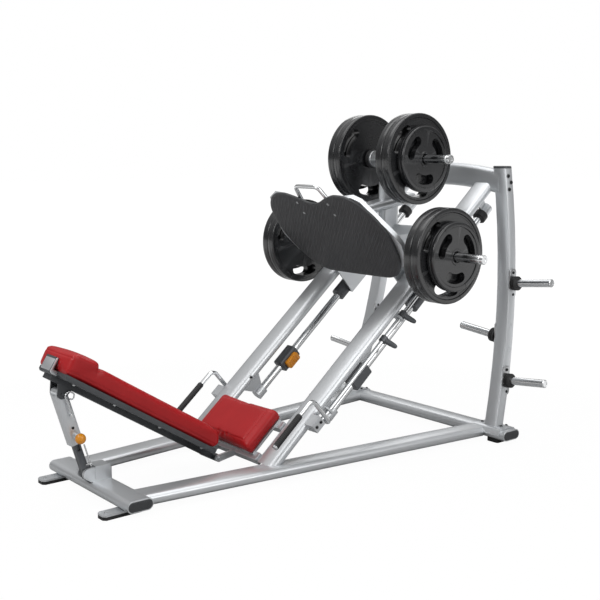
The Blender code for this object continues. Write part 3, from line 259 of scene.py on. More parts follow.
brushedSteel = newFinish("brushedSteel", {
    "colour": (0.56, 0.57, 0.58), "drift": 0.85, "metallic": 1.0, "roughness": (0.24, 0.38), "fine": 1200.0,
    "bump": 0.08, "wear": 0.2, "wornColour": (0.75, 0.75, 0.76)})
blackBolt = newFinish("blackBolt", {
    "colour": (0.020, 0.021, 0.023), "drift": 0.7, "metallic": 0.6, "roughness": (0.30, 0.45), "bump": 0.08,
    "wear": 0.4, "wornColour": (0.12, 0.12, 0.12)})
redVinyl = newFinish("redVinyl", {
    "colour": (0.44, 0.006, 0.009), "drift": 0.78, "patch": 9.0, "roughness": (0.36, 0.50), "cells": 0.75,
    "cell": 520.0, "fine": 1500.0, "bump": 0.22, "bumpDepth": 0.0004, "coat": 0.05, "coatRoughness": 0.3,
    "specular": 0.35,
    "wear": 0.15, "wornColour": (0.42, 0.03, 0.03)})
orangePlastic = newFinish("orangePlastic", {
    "colour": (0.88, 0.33, 0.010), "drift": 0.8, "roughness": (0.26, 0.40), "fine": 700.0, "bump": 0.08,
    "coat": 0.3, "wear": 0.3, "wornColour": (0.90, 0.42, 0.06)})
print("leg press: finishes made")


# CAD nodes keep their shape and get smooth shading and a finish

def makeSmoothGroup():
    group = bpy.data.node_groups.new("softShading", "GeometryNodeTree")
    group.interface.new_socket(name="Geometry", in_out="INPUT", socket_type="NodeSocketGeometry")
    group.interface.new_socket(name="Geometry", in_out="OUTPUT", socket_type="NodeSocketGeometry")
    given, out = group.nodes.new("NodeGroupInput"), group.nodes.new("NodeGroupOutput")
    drop = addNode(group, "GeometryNodeRemoveAttribute")
    drop.inputs["Name"].default_value = "custom_normal"
    merge = addNode(group, "GeometryNodeMergeByDistance")
    merge.inputs["Distance"].default_value = 0.00002
    faces = addNode(group, "GeometryNodeSetShadeSmooth", domain="FACE")
    angle = addNode(group, "GeometryNodeInputMeshEdgeAngle")
    compare = addNode(group, "FunctionNodeCompare", data_type="FLOAT", operation="GREATER_THAN")
    compare.inputs[1].default_value = math.radians(38)
    edges = addNode(group, "GeometryNodeSetShadeSmooth", domain="EDGE")
    edges.inputs["Shade Smooth"].default_value = False
    link = group.links.new
    link(given.outputs[0], drop.inputs["Geometry"])
    link(drop.outputs[0], merge.inputs["Geometry"])
    link(merge.outputs[0], faces.inputs["Geometry"])
    link(faces.outputs[0], edges.inputs["Geometry"])
    link(angle.outputs["Unsigned Angle"], compare.inputs[0])
    link(compare.outputs[0], edges.inputs["Selection"])
    link(edges.outputs[0], out.inputs[0])
    return group


softShading = makeSmoothGroup()
slotFinish = {
    "frame_paint": silverPaint, "dark_paint": darkPaint, "cap_plastic": capPlastic, "rubber": gripRubber,
    "chrome": polishedChrome, "plate_rubber": plateCoat, "red_vinyl": redVinyl, "orange_plastic": orangePlastic}
slotOf = {s["node"]: s["material_slot"] for s in record["subparts"]}
ownFinish = {"slide_bearing_left": greyPaint, "slide_bearing_right": greyPaint, "strut_bar": greyPaint}
for name, node in frame["nodes"].items():
    node.data.materials.clear()
    node.data.materials.append(ownFinish.get(name, slotFinish[slotOf[name]]))
    soften = node.modifiers.new("softShading", "NODES")
    soften.node_group = softShading


# Mesh helpers: each adds closed shells to one build, in the row frame

def pointing(origin, direction, top=upward):
    # axes at origin whose Z runs along direction and whose Y leans towards top
    z = Vector(direction).normalized()
    x = Vector(top).cross(z)
    x = x.normalized() if x.length > 1e-6 else z.orthogonal().normalized()
    return Matrix.Translation(origin) @ Matrix((x, z.cross(x), z)).transposed().to_4x4()


def bridge(build, low, high, finish):
    count = max(len(low), len(high))
    for i in range(count):
        j = (i + 1) % count
        if len(low) == 1:
            corners = (low[0], high[i], high[j])
        elif len(high) == 1:
            corners = (low[i], low[j], high[0])
        else:
            corners = (low[i], low[j], high[j], high[i])
        build.faces.new(corners).material_index = finish


def lathe(build, axes, profile, finish=0, steps=40, loop=False):
    # profile is (radius, height) along the Z of axes
    rings = []
    for radius, height in profile:
        turns = [2 * math.pi * i / steps for i in range(steps)] if radius > 1e-6 else [0]
        rings.append([build.verts.new(axes @ Vector((radius * math.cos(a), radius * math.sin(a), height)))
                      for a in turns])
    for low, high in zip(rings, rings[1:]):
        bridge(build, low, high, finish)
    if loop:
        bridge(build, rings[-1], rings[0], finish)
        return
    for ring in (rings[0], rings[-1]):
        if len(ring) > 1:
            build.faces.new(ring).material_index = finish


def inset(outline, distance):
    # moves each corner inward along the mean of its two edges' normals
    count = len(outline)
    area = sum(outline[i][0] * outline[(i + 1) % count][1] - outline[(i + 1) % count][0] * outline[i][1]
               for i in range(count))
    way = 1 if area > 0 else -1
    moved = []
    for i in range(count):
        before, here, after = (Vector(outline[k % count]) for k in (i - 1, i, i + 1))
        a, b = (here - before).normalized(), (after - here).normalized()
        normal = Vector((-(a.y + b.y), a.x + b.x)) * way
        if normal.length < 1e-9:
            moved.append(tuple(here))
            continue
        normal.normalize()
        square = Vector((-a.y, a.x)) * way
        moved.append(tuple(here + normal * (distance / max(0.35, normal.dot(square)))))
    return moved


def slab(build, axes, outline, low, high, finish=0, edge=0.0, steps=1):
    # an outline in the XY of axes, thickened along Z, with rounded rims
    levels = []
    for k in range(steps + 1):
        turn = math.pi / 2 * k / steps
        levels.append((low + edge * (1 - math.sin(turn)), edge * (1 - math.cos(turn))))
    levels = sorted(levels) if edge else [(low, 0)]
    levels += [(low + high - z, d) for z, d in reversed(levels)]
    rings = []
    for z, distance in levels:
        ring = inset(outline, distance) if distance > 1e-7 else outline
        rings.append([build.verts.new(axes @ Vector((x, y, z))) for x, y in ring])
    for below, above in zip(rings, rings[1:]):
        bridge(build, below, above, finish)
    build.faces.new(rings[0]).material_index = finish
    build.faces.new(rings[-1]).material_index = finish


def roundedBox(wide, high, corner, steps=6):
    points = []
    for cx, cy, start in ((1, -1, -90), (1, 1, 0), (-1, 1, 90), (-1, -1, 180)):
        for i in range(steps + 1):
            a = math.radians(start + 90 * i / steps)
            points.append((cx * (wide / 2 - corner) + corner * math.cos(a),
                           cy * (high / 2 - corner) + corner * math.sin(a)))
    return points


def filleted(points, bend, steps=8):
    points = [Vector(p) for p in points]
    path = [points[0]]
    for before, corner, after in zip(points, points[1:], points[2:]):
        a, b = (before - corner).normalized(), (after - corner).normalized()
        half = a.angle(b) / 2
        reach = bend / math.tan(half)
        centre = corner + (a + b).normalized() * (bend / math.sin(half))
        first, last = corner + a * reach - centre, corner + b * reach - centre
        turn, axis = first.angle(last), first.cross(last).normalized()
        path += [centre + Matrix.Rotation(turn * i / steps, 3, axis) @ first for i in range(steps + 1)]
    return path + [points[-1]]


def sweep(build, path, radius, finish=0, steps=20):
    # a round bar along a path; radius is one number or one for each point
    radii = radius if isinstance(radius, (list, tuple)) else [radius] * len(path)
    side = (path[1] - path[0]).orthogonal().normalized()
    rings = []
    for i, point in enumerate(path):
        heading = (path[min(i + 1, len(path) - 1)] - path[max(i - 1, 0)]).normalized()
        side = (side - heading * side.dot(heading)).normalized()
        up = heading.cross(side)
        rings.append([build.verts.new(point + (side * math.cos(a) + up * math.sin(a)) * radii[i])
                      for a in (2 * math.pi * k / steps for k in range(steps))])
    for low, high in zip(rings, rings[1:]):
        bridge(build, low, high, finish)
    build.faces.new(rings[0]).material_index = finish
    build.faces.new(rings[-1]).material_index = finish


def socketBolt(build, origin, direction, radius, finish=0, washer=None):
    # a domed cap screw with a hexagon socket, on a washer
    axes = pointing(origin, direction)
    lift = 0.0
    if washer is not None:
        lift = radius * 0.14
        lathe(build, axes, [(0, 0), (radius * 1.45, 0), (radius * 1.45, lift), (0, lift)], washer, 24)
    tall = radius * 0.75
    lathe(build, axes, [(0, lift), (radius, lift), (radius * 0.98, lift + tall * 0.45),
                        (radius * 0.72, lift + tall * 0.92), (radius * 0.5, lift + tall), (radius * 0.44, lift + tall)],
          finish, 24)
    socket, low, high = radius * 0.42, lift + tall * 1.01, lift + tall * 1.03
    lathe(build, axes, [(0, low), (socket, low), (socket, high), (0, high)], finish, 6)


def meshOf(build, name):
    bmesh.ops.recalc_face_normals(build, faces=build.faces)
    mesh = bpy.data.meshes.new(name)
    build.to_mesh(mesh)
    build.free()
    return mesh


def applied(piece):
    # the piece's modifiers turned into its mesh
    graph = bpy.context.evaluated_depsgraph_get()
    graph.update()
    mesh = bpy.data.meshes.new_from_object(piece.evaluated_get(graph))
    piece.modifiers.clear()
    piece.data = mesh
    return mesh


def looseObject(build, name, finishes=()):
    mesh = meshOf(build, name)
    for finish in finishes:
        mesh.materials.append(finish)
    loose = bpy.data.objects.new(name, mesh)
    bpy.context.scene.collection.objects.link(loose)
    return loose


def finishPiece(build, name, body, finishes, sharp=35):
    return placeMesh(meshOf(build, name), name, body, finishes, sharp)


def placeMesh(mesh, name, body, finishes, sharp=35):
    mesh.shade_smooth()
    mesh.set_sharp_from_angle(angle=math.radians(sharp))
    piece = bpy.data.objects.new(name, mesh)
    bpy.context.scene.collection.objects.link(piece)
    for finish in finishes:
        mesh.materials.append(finish)
    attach(piece, body)
    return piece


# Weight plates

plateLook = {
    "lip": 0.020,          # width of the raised rim ring
    "dish": 0.0045,        # how far the face lies below the rim and hub
    "rimRound": 0.007,
    "hubRing": 0.036,
    "grooveWide": 0.0022, "grooveDeep": 0.0022, "grooveAt": 0.86,   # share of the radius
    "holeAngles": (150, 30, 270),
    "bigHole": (0.74, 0.21, 20),     # middle and width as shares of the radius, half angle
    "smallHole": (0.63, 0.29, 23)}


def beanOutline(radius, share, angle, steps=10):
    # a bent slot with round ends, about the plate's axis
    middle, wide, spread = share
    reach, half = middle * radius, wide * radius / 2
    spread = math.radians(spread)
    centre = math.radians(angle)
    points = []
    for i in range(steps + 1):
        a = centre - spread + 2 * spread * i / steps
        points.append(((reach + half) * math.cos(a), (reach + half) * math.sin(a)))
    for start, way in ((centre + spread, 1), (centre - spread, -1)):
        if way < 0:
            for i in range(steps + 1):
                a = centre + spread - 2 * spread * i / steps
                points.append(((reach - half) * math.cos(a), (reach - half) * math.sin(a)))
        end = Vector((reach * math.cos(start), reach * math.sin(start)))
        for i in range(1, steps):
            turn = start + way * math.pi * i / steps if way > 0 else start + math.pi + math.pi * i / steps
            points.append((end.x + half * math.cos(turn), end.y + half * math.sin(turn)))
    return points


def cutWith(piece, cutter):
    # an exact Boolean, applied, and the cutter removed
    step = piece.modifiers.new("cut", "BOOLEAN")
    step.operation, step.solver, step.object = "DIFFERENCE", "EXACT", cutter
    step.use_self = True
    applied(piece)
    bpy.data.objects.remove(cutter)


def plateMesh(name, radius, thick, bore, hole):
    # axis along Z from 0 to thick, top of the plate along Y
    look = plateLook
    lip, dish, edge, hub = look["lip"], look["dish"], look["rimRound"], look["hubRing"]
    arc = [(radius - edge + edge * math.sin(a), edge - edge * math.cos(a))
           for a in (math.radians(d) for d in (15, 40, 65, 90))]
    under = [(bore, dish), (bore + 0.004, 0.001), (hub, 0.001), (hub + 0.003, dish),
             (radius - lip - 0.004, dish), (radius - lip, 0.0), (radius - edge, 0.0)] + arc
    mid = [(radius, thick * 0.44), (radius - 0.0015, thick * 0.47), (radius - 0.0015, thick * 0.53),
           (radius, thick * 0.56)]
    over = [(r, thick - z) for r, z in reversed(under)]
    build = bmesh.new()
    lathe(build, Matrix.Identity(4), under + mid + over, 0, 96, loop=True)
    plate = looseObject(build, name, [plateCoat, grooveBlack])
    cutters = bmesh.new()
    for angle in look["holeAngles"]:
        slab(cutters, Matrix.Identity(4), beanOutline(radius, hole, angle), -0.01, thick + 0.01)
    cutWith(plate, looseObject(cutters, "beanCutters"))
    grooves = bmesh.new()
    deep, wide = look["grooveDeep"], look["grooveWide"]
    at = look["grooveAt"] * radius
    for face in (dish, thick - dish):
        low, high = (face - 0.01, face + deep) if face < thick / 2 else (face - deep, face + 0.01)
        for start, end in ((38, 128), (-62, -4), (188, 232)):
            steps = 24
            turns = [math.radians(start + (end - start) * i / steps) for i in range(steps + 1)]
            outer = [((at + wide / 2) * math.cos(a), (at + wide / 2) * math.sin(a)) for a in turns]
            inner = [((at - wide / 2) * math.cos(a), (at - wide / 2) * math.sin(a)) for a in reversed(turns)]
            slab(grooves, Matrix.Identity(4), outer + inner, low, high)
        for angle in (128, -62):
            a = math.radians(angle)
            out, side = Vector((math.cos(a), math.sin(a))), Vector((-math.sin(a), math.cos(a)))
            r0, r1 = at - wide, radius + 0.01
            corners = [out * r0 + side * wide / 2, out * r0 - side * wide / 2,
                       out * r1 - side * wide / 2, out * r1 + side * wide / 2]
            slab(grooves, Matrix.Identity(4), [tuple(c) for c in corners], low, high)
    cutWith(plate, looseObject(grooves, "grooveCutters"))
    mesh = plate.data
    bpy.data.objects.remove(plate)
    return mesh


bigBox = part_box("plate_lower_right_inner")
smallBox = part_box("plate_lower_right_small")
boreRadius = 0.0252
bigPlate = plateMesh("bigPlate", (bigBox[1].z - bigBox[0].z) / 2, bigBox[1].y - bigBox[0].y, boreRadius,
                     plateLook["bigHole"])
smallPlate = plateMesh("smallPlate", (smallBox[1].z - smallBox[0].z) / 2, smallBox[1].y - smallBox[0].y,
                       boreRadius, plateLook["smallHole"])
plateTurns = {"inner": 0, "outer": 8, "small": 4}  # each hangs turned a little differently
for level in ("upper", "lower"):
    for side, way in sides:
        for tag in ("inner", "outer", "small"):
            node = f"plate_{level}_{side}_{tag}"
            low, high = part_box(node)
            middle = (low + high) / 2
            start = Vector((middle.x, low.y if way > 0 else high.y, middle.z))
            source = smallPlate if tag == "small" else bigPlate
            mesh = source.copy()
            turn = Matrix.Rotation(math.radians(plateTurns[tag] * way), 4, "Z")
            mesh.transform(pointing(start, across * way) @ turn)
            piece = placeMesh(mesh, f"weightPlate_{level}_{side}_{tag}", f"plates_{level}_{side}",
                              [], 30)
            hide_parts(node)
print("leg press: weight plates made")


# Weight horns, with the flange each stack rests against

hornLook = {"barRadius": 0.0215, "flangeRadius": 0.047, "flangeLong": 0.034, "bumper": 0.012, "touch": 0.0004}


def hornBar(build, base, tip, way):
    # a polished bar with a stop groove and a chamfered end; way is its direction along Y
    axes = pointing(base, across * way)
    long = abs(tip.y - base.y)
    r = hornLook["barRadius"]
    lathe(build, axes, [(0, 0), (r, 0), (r, long - 0.022), (r - 0.0025, long - 0.0205), (r - 0.0025, long - 0.0165),
                        (r, long - 0.015), (r, long - 0.003), (r - 0.003, long), (0.009, long),
                        (0.007, long - 0.0015), (0, long - 0.0015)], 0, 48)


def hornFlange(build, level, side, way, x, z):
    # a steel disc with a raised ring, and a rubber bumper where the plates touch
    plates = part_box(f"plate_{level}_{side}_inner")
    face = min(abs(plates[0].y), abs(plates[1].y)) - hornLook["touch"]
    thick = hornLook["flangeLong"]
    axes = pointing(Vector((x, way * (face - thick), z)), across * way)
    r, pad = hornLook["flangeRadius"], hornLook["bumper"]
    lathe(build, axes, [(0, 0), (r * 0.86, 0), (r * 0.90, 0.003), (r * 0.90, thick - pad - 0.002),
                        (r * 0.88, thick - pad), (0, thick - pad)], 1, 48)
    lathe(build, axes, [(0, thick - pad), (r - 0.002, thick - pad), (r, thick - pad + 0.002), (r, thick - 0.003),
                        (r - 0.003, thick), (0, thick)], 2, 48)


def makeHorns():
    low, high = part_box("weight_horn_upper")
    middle = (low + high) / 2
    build = bmesh.new()
    for side, way in sides:
        hornBar(build, middle, Vector((middle.x, way * high.y, middle.z)), way)
        hornFlange(build, "upper", side, way, middle.x, middle.z)
    piece = finishPiece(build, "weightHornUpper", "carriage", [polishedChrome, brushedSteel, gripRubber])
    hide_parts("weight_horn_upper")
    for side, way in sides:
        low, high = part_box(f"weight_horn_{side}")
        tip = mounts[f"weight_horn_lower_{side}"]["pos_m"]
        base = Vector((tip[0], low.y if way > 0 else high.y, tip[2]))
        build = bmesh.new()
        hornBar(build, base, Vector(tip), way)
        hornFlange(build, "lower", side, way, tip[0], tip[2])
        piece = finishPiece(build, f"weightHornLower_{side}", "carriage",
                            [polishedChrome, brushedSteel, gripRubber])
        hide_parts(f"weight_horn_{side}")


makeHorns()


# Storage horns on the uprights

storageLook = {"rod": 0.0195, "collarRings": 3, "collar": 0.036, "plateHigh": 0.150, "plateWide": 0.050,
               "lean": 0.093}  # the uprights lean inward by this share as they rise


def makeStorageHorn(level, side, way):
    node = f"storage_horn_{level}_{side}"
    mount = mounts[node]
    tip, run = Vector(mount["pos_m"]), Vector(mount["axis"]).normalized()
    out = 1 if run.y > 0 else -1
    low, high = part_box(node)
    face = low.y if out > 0 else high.y
    long = abs(tip.y - face) / abs(run.y)
    root = tip - run * long
    tall = Vector((0, -way * storageLook["lean"], 1)).normalized()
    plateAxes = pointing(root + Vector((0, out * 0.004, 0)), across * out, tall)
    build = bmesh.new()
    slab(build, plateAxes, roundedBox(storageLook["plateWide"], storageLook["plateHigh"], 0.020), -0.0015, 0.0055,
         1, 0.0015, 2)
    for lift in (-0.056, 0.056):
        socketBolt(build, plateAxes @ Vector((0, lift, 0.0055)), plateAxes.to_3x3() @ Vector((0, 0, 1)), 0.0075, 3, 1)
    r, wide = storageLook["rod"], storageLook["collar"]
    axes = pointing(root, run)
    profile = [(0, 0.013), (wide - 0.004, 0.013), (wide - 0.001, 0.0155)]
    at = 0.0155
    for _ in range(storageLook["collarRings"]):
        profile += [(wide, at + 0.001), (wide, at + 0.0065), (wide - 0.003, at + 0.0075), (wide - 0.003, at + 0.0085)]
        at += 0.0095
    profile += [(wide - 0.008, at), (wide - 0.010, 0.0455), (r, 0.0455), (0, 0.0455)]
    lathe(build, axes, profile, 2, 40)
    lathe(build, axes, [(0, 0.02), (r, 0.02), (r, long - 0.010), (r + 0.0005, long - 0.009), (r + 0.0005, long - 0.003),
                        (r - 0.003, long), (r - 0.008, long), (r - 0.009, long - 0.002), (0, long - 0.002)], 0, 40)
    piece = finishPiece(build, f"storageHorn_{level}_{side}", "frame",
                        [polishedChrome, brushedSteel, gripRubber, blackBolt])
    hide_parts(node)


for level in ("upper", "inner", "lower"):
    for side, way in sides:
        makeStorageHorn(level, side, way)
print("leg press: horns made")


# End caps: a ribbed face inside a bright rim

capLook = {"ribs": 9, "ribDeep": 0.0016, "rim": 0.0045}


def flatOval(wide, high, steps=10):
    # outline with half-round ends
    radius, half = high / 2, (wide - high) / 2
    points = []
    for side in (1, -1):
        for i in range(steps + 1):
            a = -math.pi / 2 + math.pi * i / steps
            points.append((side * (half + radius * math.cos(a)), side * radius * math.sin(a)))
    return points


def makeEndCap(node):
    low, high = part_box(node)
    middle = (low + high) / 2
    out = 1 if middle.y > 0 else -1
    wide, tall, thick = high.x - low.x, high.z - low.z, 0.008
    face = high.y if out > 0 else low.y
    axes = pointing(Vector((middle.x, face, middle.z)), across * out)
    build = bmesh.new()
    slab(build, axes, flatOval(wide, tall), -thick, -0.003, 1, 0.0012)
    rim = capLook["rim"]
    slab(build, axes, flatOval(wide - 2 * rim, tall - 2 * rim), -0.0045, -capLook["ribDeep"], 0, 0.0010)
    pitch = (tall - 2 * rim) / (capLook["ribs"] + 1)
    for k in range(capLook["ribs"]):
        y = -(tall / 2 - rim) + pitch * (k + 1)
        radius = tall / 2 - rim - 0.002
        chord = math.sqrt(max(0.0, radius ** 2 - y ** 2))
        half = (wide - tall) / 2 + chord
        low, high = y - pitch * 0.28, y + pitch * 0.28
        outline = [(-half, low), (half, low), (half, high), (-half, high)]
        slab(build, axes, outline, -0.003, 0.0, 0, 0.0005)
    piece = finishPiece(build, "endCap_" + node[9:], "frame", [capPlastic, silverPaint])
    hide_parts(node)


for where in ("front", "rear"):
    for side, way in sides:
        makeEndCap(f"base_cap_{where}_{side}")


# Foot plate with a raised tread

treadLook = {"pitch": 0.0125, "lugLong": 0.0098, "lugWide": 0.0034, "lugHigh": 0.0013, "margin": 0.010,
             "edge": 0.0035, "screws": ((0.115, 0.897), (0.115, 0.770))}


def smoothOutline(points, steps=6):
    # a closed Catmull-Rom curve through the corner points
    count, made = len(points), []
    for i in range(count):
        a, b, c, d = (Vector(points[k % count]) for k in (i - 1, i, i + 1, i + 2))
        for k in range(steps):
            t = k / steps
            made.append(tuple(0.5 * (2 * b + (c - a) * t + (2 * a - 5 * b + 4 * c - d) * t * t
                                     + (3 * b - 3 * c + d - a) * t ** 3)))
    return made


def within(outline, x, y):
    inside = False
    for (x0, y0), (x1, y1) in zip(outline, outline[1:] + outline[:1]):
        if (y0 > y) != (y1 > y) and x < (x1 - x0) * (y - y0) / (y1 - y0) + x0:
            inside = not inside
    return inside


def footPlateOutline(half, low, high):
    # two lobes with a shallow dip between them; x across the machine, y up the plate
    shares = [(0, 0.895), (0.10, 0.902), (0.26, 0.955), (0.42, 0.995), (0.52, 1.0), (0.64, 0.988), (0.78, 0.93),
              (0.90, 0.83), (0.97, 0.71), (1.0, 0.58), (0.99, 0.45), (0.95, 0.31), (0.87, 0.18), (0.75, 0.07),
              (0.60, 0.015), (0.40, 0.0)]
    right = [(x * half, low + (high - low) * y) for x, y in shares]
    return right + [(-x, y) for x, y in reversed(right[1:])]


def makeFootPlate():
    low, high = localBox(slopeAxes, "foot_plate")
    # drawn facing down the slope: x across, y up the plate, z towards the feet
    axes = Matrix((across, slopeOut, -slopeUp)).transposed().to_4x4()
    axes = axes if axes.determinant() > 0 else Matrix((-across, slopeOut, -slopeUp)).transposed().to_4x4()
    outline = smoothOutline(footPlateOutline(high[1], low[2], high[2]))
    front, back = -low[0], -high[0]
    lug = treadLook["lugHigh"]
    build = bmesh.new()
    slab(build, axes, outline, back, front - lug, 0, treadLook["edge"], 3)
    border = inset(outline, treadLook["margin"])
    pitch = treadLook["pitch"]
    rows = int((high[2] - low[2]) / (pitch * 0.5)) + 1
    columns = int(2 * high[1] / pitch) + 1
    for row in range(rows):
        for column in range(columns):
            x = -high[1] + pitch * (column + 0.5 * (row % 2))
            y = low[2] + pitch * 0.5 * row
            if not within(border, x, y):
                continue
            turn = math.radians(45 if (row + 2 * column) % 4 < 2 else -45)
            along, side = Vector((math.cos(turn), math.sin(turn))), Vector((-math.sin(turn), math.cos(turn)))
            long, wide = treadLook["lugLong"] / 2, treadLook["lugWide"] / 2
            foot = [along * long, side * wide, -along * long, -side * wide]
            crown = [p * 0.55 for p in foot]
            rings = [[build.verts.new(axes @ Vector((x + p.x, y + p.y, z))) for p in ring]
                     for ring, z in ((foot, front - lug - 0.0004), (crown, front))]
            bridge(build, rings[0], rings[1], 0)
            build.faces.new(rings[0]).material_index = 0
            build.faces.new(rings[1]).material_index = 0
    tall = high[2] - low[2]
    for reach, share in treadLook["screws"]:
        for way in (1, -1):
            spot = axes @ Vector((reach * way, low[2] + tall * share, front - lug))
            lathe(build, pointing(spot, -slopeUp), [(0, -0.002), (0.0075, -0.002), (0.0075, 0.0006), (0.006, 0.0012),
                                                    (0.0035, 0.0012), (0.003, 0.0002), (0, 0.0002)], 1, 20)
    piece = finishPiece(build, "footPlateTread", "carriage", [treadRubber, brushedSteel], 28)
    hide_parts("foot_plate")


makeFootPlate()
print("leg press: foot plate made")


# Cushions: foam blown up under vinyl, then sewn lines pressed in

seatLook = {"voxel": 0.006, "pressure": 4.0, "cap": 0.008, "shrink": 0.004, "seamDeep": 0.0030, "seamWide": 0.0034,
            "panelSide": 0.040, "panelEnd": 0.026, "drop": 0.010}
backLook = {"voxel": 0.007, "pressure": 4.0, "cap": 0.009, "shrink": 0.004, "seamDeep": 0.0024, "seamWide": 0.0035,
            "headLong": 0.138, "notch": 0.016, "round": 0.020}


def meshPoints(mesh):
    flat = np.zeros(len(mesh.vertices) * 3)
    mesh.vertices.foreach_get("co", flat)
    return flat.reshape(-1, 3)


def remeshed(piece, voxel):
    step = piece.modifiers.new("even", "REMESH")
    step.mode, step.voxel_size = "VOXEL", voxel
    applied(piece)
    smooth = piece.modifiers.new("ease", "SMOOTH")
    smooth.factor, smooth.iterations = 0.5, 3
    applied(piece)


def inflate(piece, look):
    # cloth under inner pressure, with how far a point may move held to the cap
    before = meshPoints(piece.data)
    cloth = piece.modifiers.new("cloth", "CLOTH")
    cloth.settings.quality = 4
    cloth.settings.mass = 0.4
    cloth.settings.tension_stiffness = 25
    cloth.settings.compression_stiffness = 25
    cloth.settings.shear_stiffness = 12
    cloth.settings.bending_stiffness = 6
    cloth.settings.use_pressure = True
    cloth.settings.uniform_pressure_force = look["pressure"]
    cloth.settings.effector_weights.gravity = 0
    cloth.point_cache.frame_start, cloth.point_cache.frame_end = 1, 20
    for step in range(1, 21):
        bpy.context.scene.frame_set(step)
    mesh = applied(piece)
    bpy.context.scene.frame_set(1)
    moved = meshPoints(mesh) - before
    far = np.linalg.norm(moved, axis=1, keepdims=True)
    moved *= np.minimum(1, look["cap"] / np.maximum(far, 1e-9))
    mesh.vertices.foreach_set("co", (before + moved).ravel())
    mesh.update()


def subdivided(piece):
    step = piece.modifiers.new("finer", "SUBSURF")
    step.levels = step.render_levels = 1
    applied(piece)


def pressSeam(piece, path, deep, wide):
    # a sewn line: points near the path sink along their normals
    mesh = piece.data
    points = meshPoints(mesh)
    normals = np.zeros(len(points) * 3)
    mesh.vertices.foreach_get("normal", normals)
    normals = normals.reshape(-1, 3)
    nearest = np.full(len(points), 1e9)
    for a, b in zip(path, path[1:]):
        a, d = np.array(a), np.array(b) - np.array(a)
        t = np.clip(((points - a) @ d) / max(d @ d, 1e-12), 0, 1)
        nearest = np.minimum(nearest, np.linalg.norm(points - (a + t[:, None] * d), axis=1))
    sink = deep * np.exp(-(nearest / wide) ** 2)
    mesh.vertices.foreach_set("co", (points - normals * sink[:, None]).ravel())
    mesh.update()


def onSurface(piece, path, steps=14):
    # the path laid onto the cushion, in short steps
    laid = []
    for a, b in zip(path, path[1:]):
        for k in range(steps):
            hit, spot, normal, _ = piece.closest_point_on_mesh(Vector(a).lerp(Vector(b), k / steps))
            laid.append(spot)
    hit, spot, normal, _ = piece.closest_point_on_mesh(Vector(path[-1]))
    return laid + [spot]


def padded(build, name, look):
    piece = looseObject(build, name, [redVinyl])
    remeshed(piece, look["voxel"])
    inflate(piece, look)
    subdivided(piece)
    return piece


def makeSeat():
    low, high = localBox(slopeAxes, "seat_pad")
    shrink = seatLook["shrink"]
    low, high = low + shrink, high - shrink
    low[2] -= shrink * 0.9  # flat on its board
    long, wide = high[0] - low[0], high[1] - low[1]
    centre = (low + high) / 2
    axes = slopeAxes @ Matrix.Translation((centre[0], centre[1], 0))
    drop, side, end = seatLook["drop"], seatLook["panelSide"], seatLook["panelEnd"]
    build = bmesh.new()
    rings = []
    levels = ((low[2], 0.004, 0.004), (low[2] + 0.006, 0, 0), (high[2] - drop - 0.016, 0, 0),
              (high[2] - drop - 0.006, 0.004, 0.004), (high[2] - drop, 0.011, 0.010),
              (high[2] - 0.0012, side, end), (high[2], side + 0.030, end + 0.030))
    for z, insetSide, insetEnd in levels:
        outline = roundedBox(long - 2 * insetEnd, wide - 2 * insetSide, 0.016)
        rings.append([build.verts.new(axes @ Vector((x, y, z))) for x, y in outline])
    for below, above in zip(rings, rings[1:]):
        bridge(build, below, above, 0)
    build.faces.new(rings[0])
    build.faces.new(rings[-1])
    piece = padded(build, "seatCushion", seatLook)
    top = high[2] + shrink
    panel = [axes @ Vector((x * (long / 2 - end), y * (wide / 2 - side), top))
             for x, y in ((-1, -1), (1, -1), (1, 1), (-1, 1), (-1, -1))]
    pressSeam(piece, onSurface(piece, panel), seatLook["seamDeep"] * 0.7, seatLook["seamWide"])
    belt = [axes @ Vector((x * long / 2, y * wide / 2, low[2] + 0.012))
            for x, y in ((-1, -1), (1, -1), (1, 1), (-1, 1), (-1, -1))]
    pressSeam(piece, onSurface(piece, belt, 20), seatLook["seamDeep"], seatLook["seamWide"])
    piece.data.shade_smooth()
    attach(piece, "frame")
    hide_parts("seat_pad")


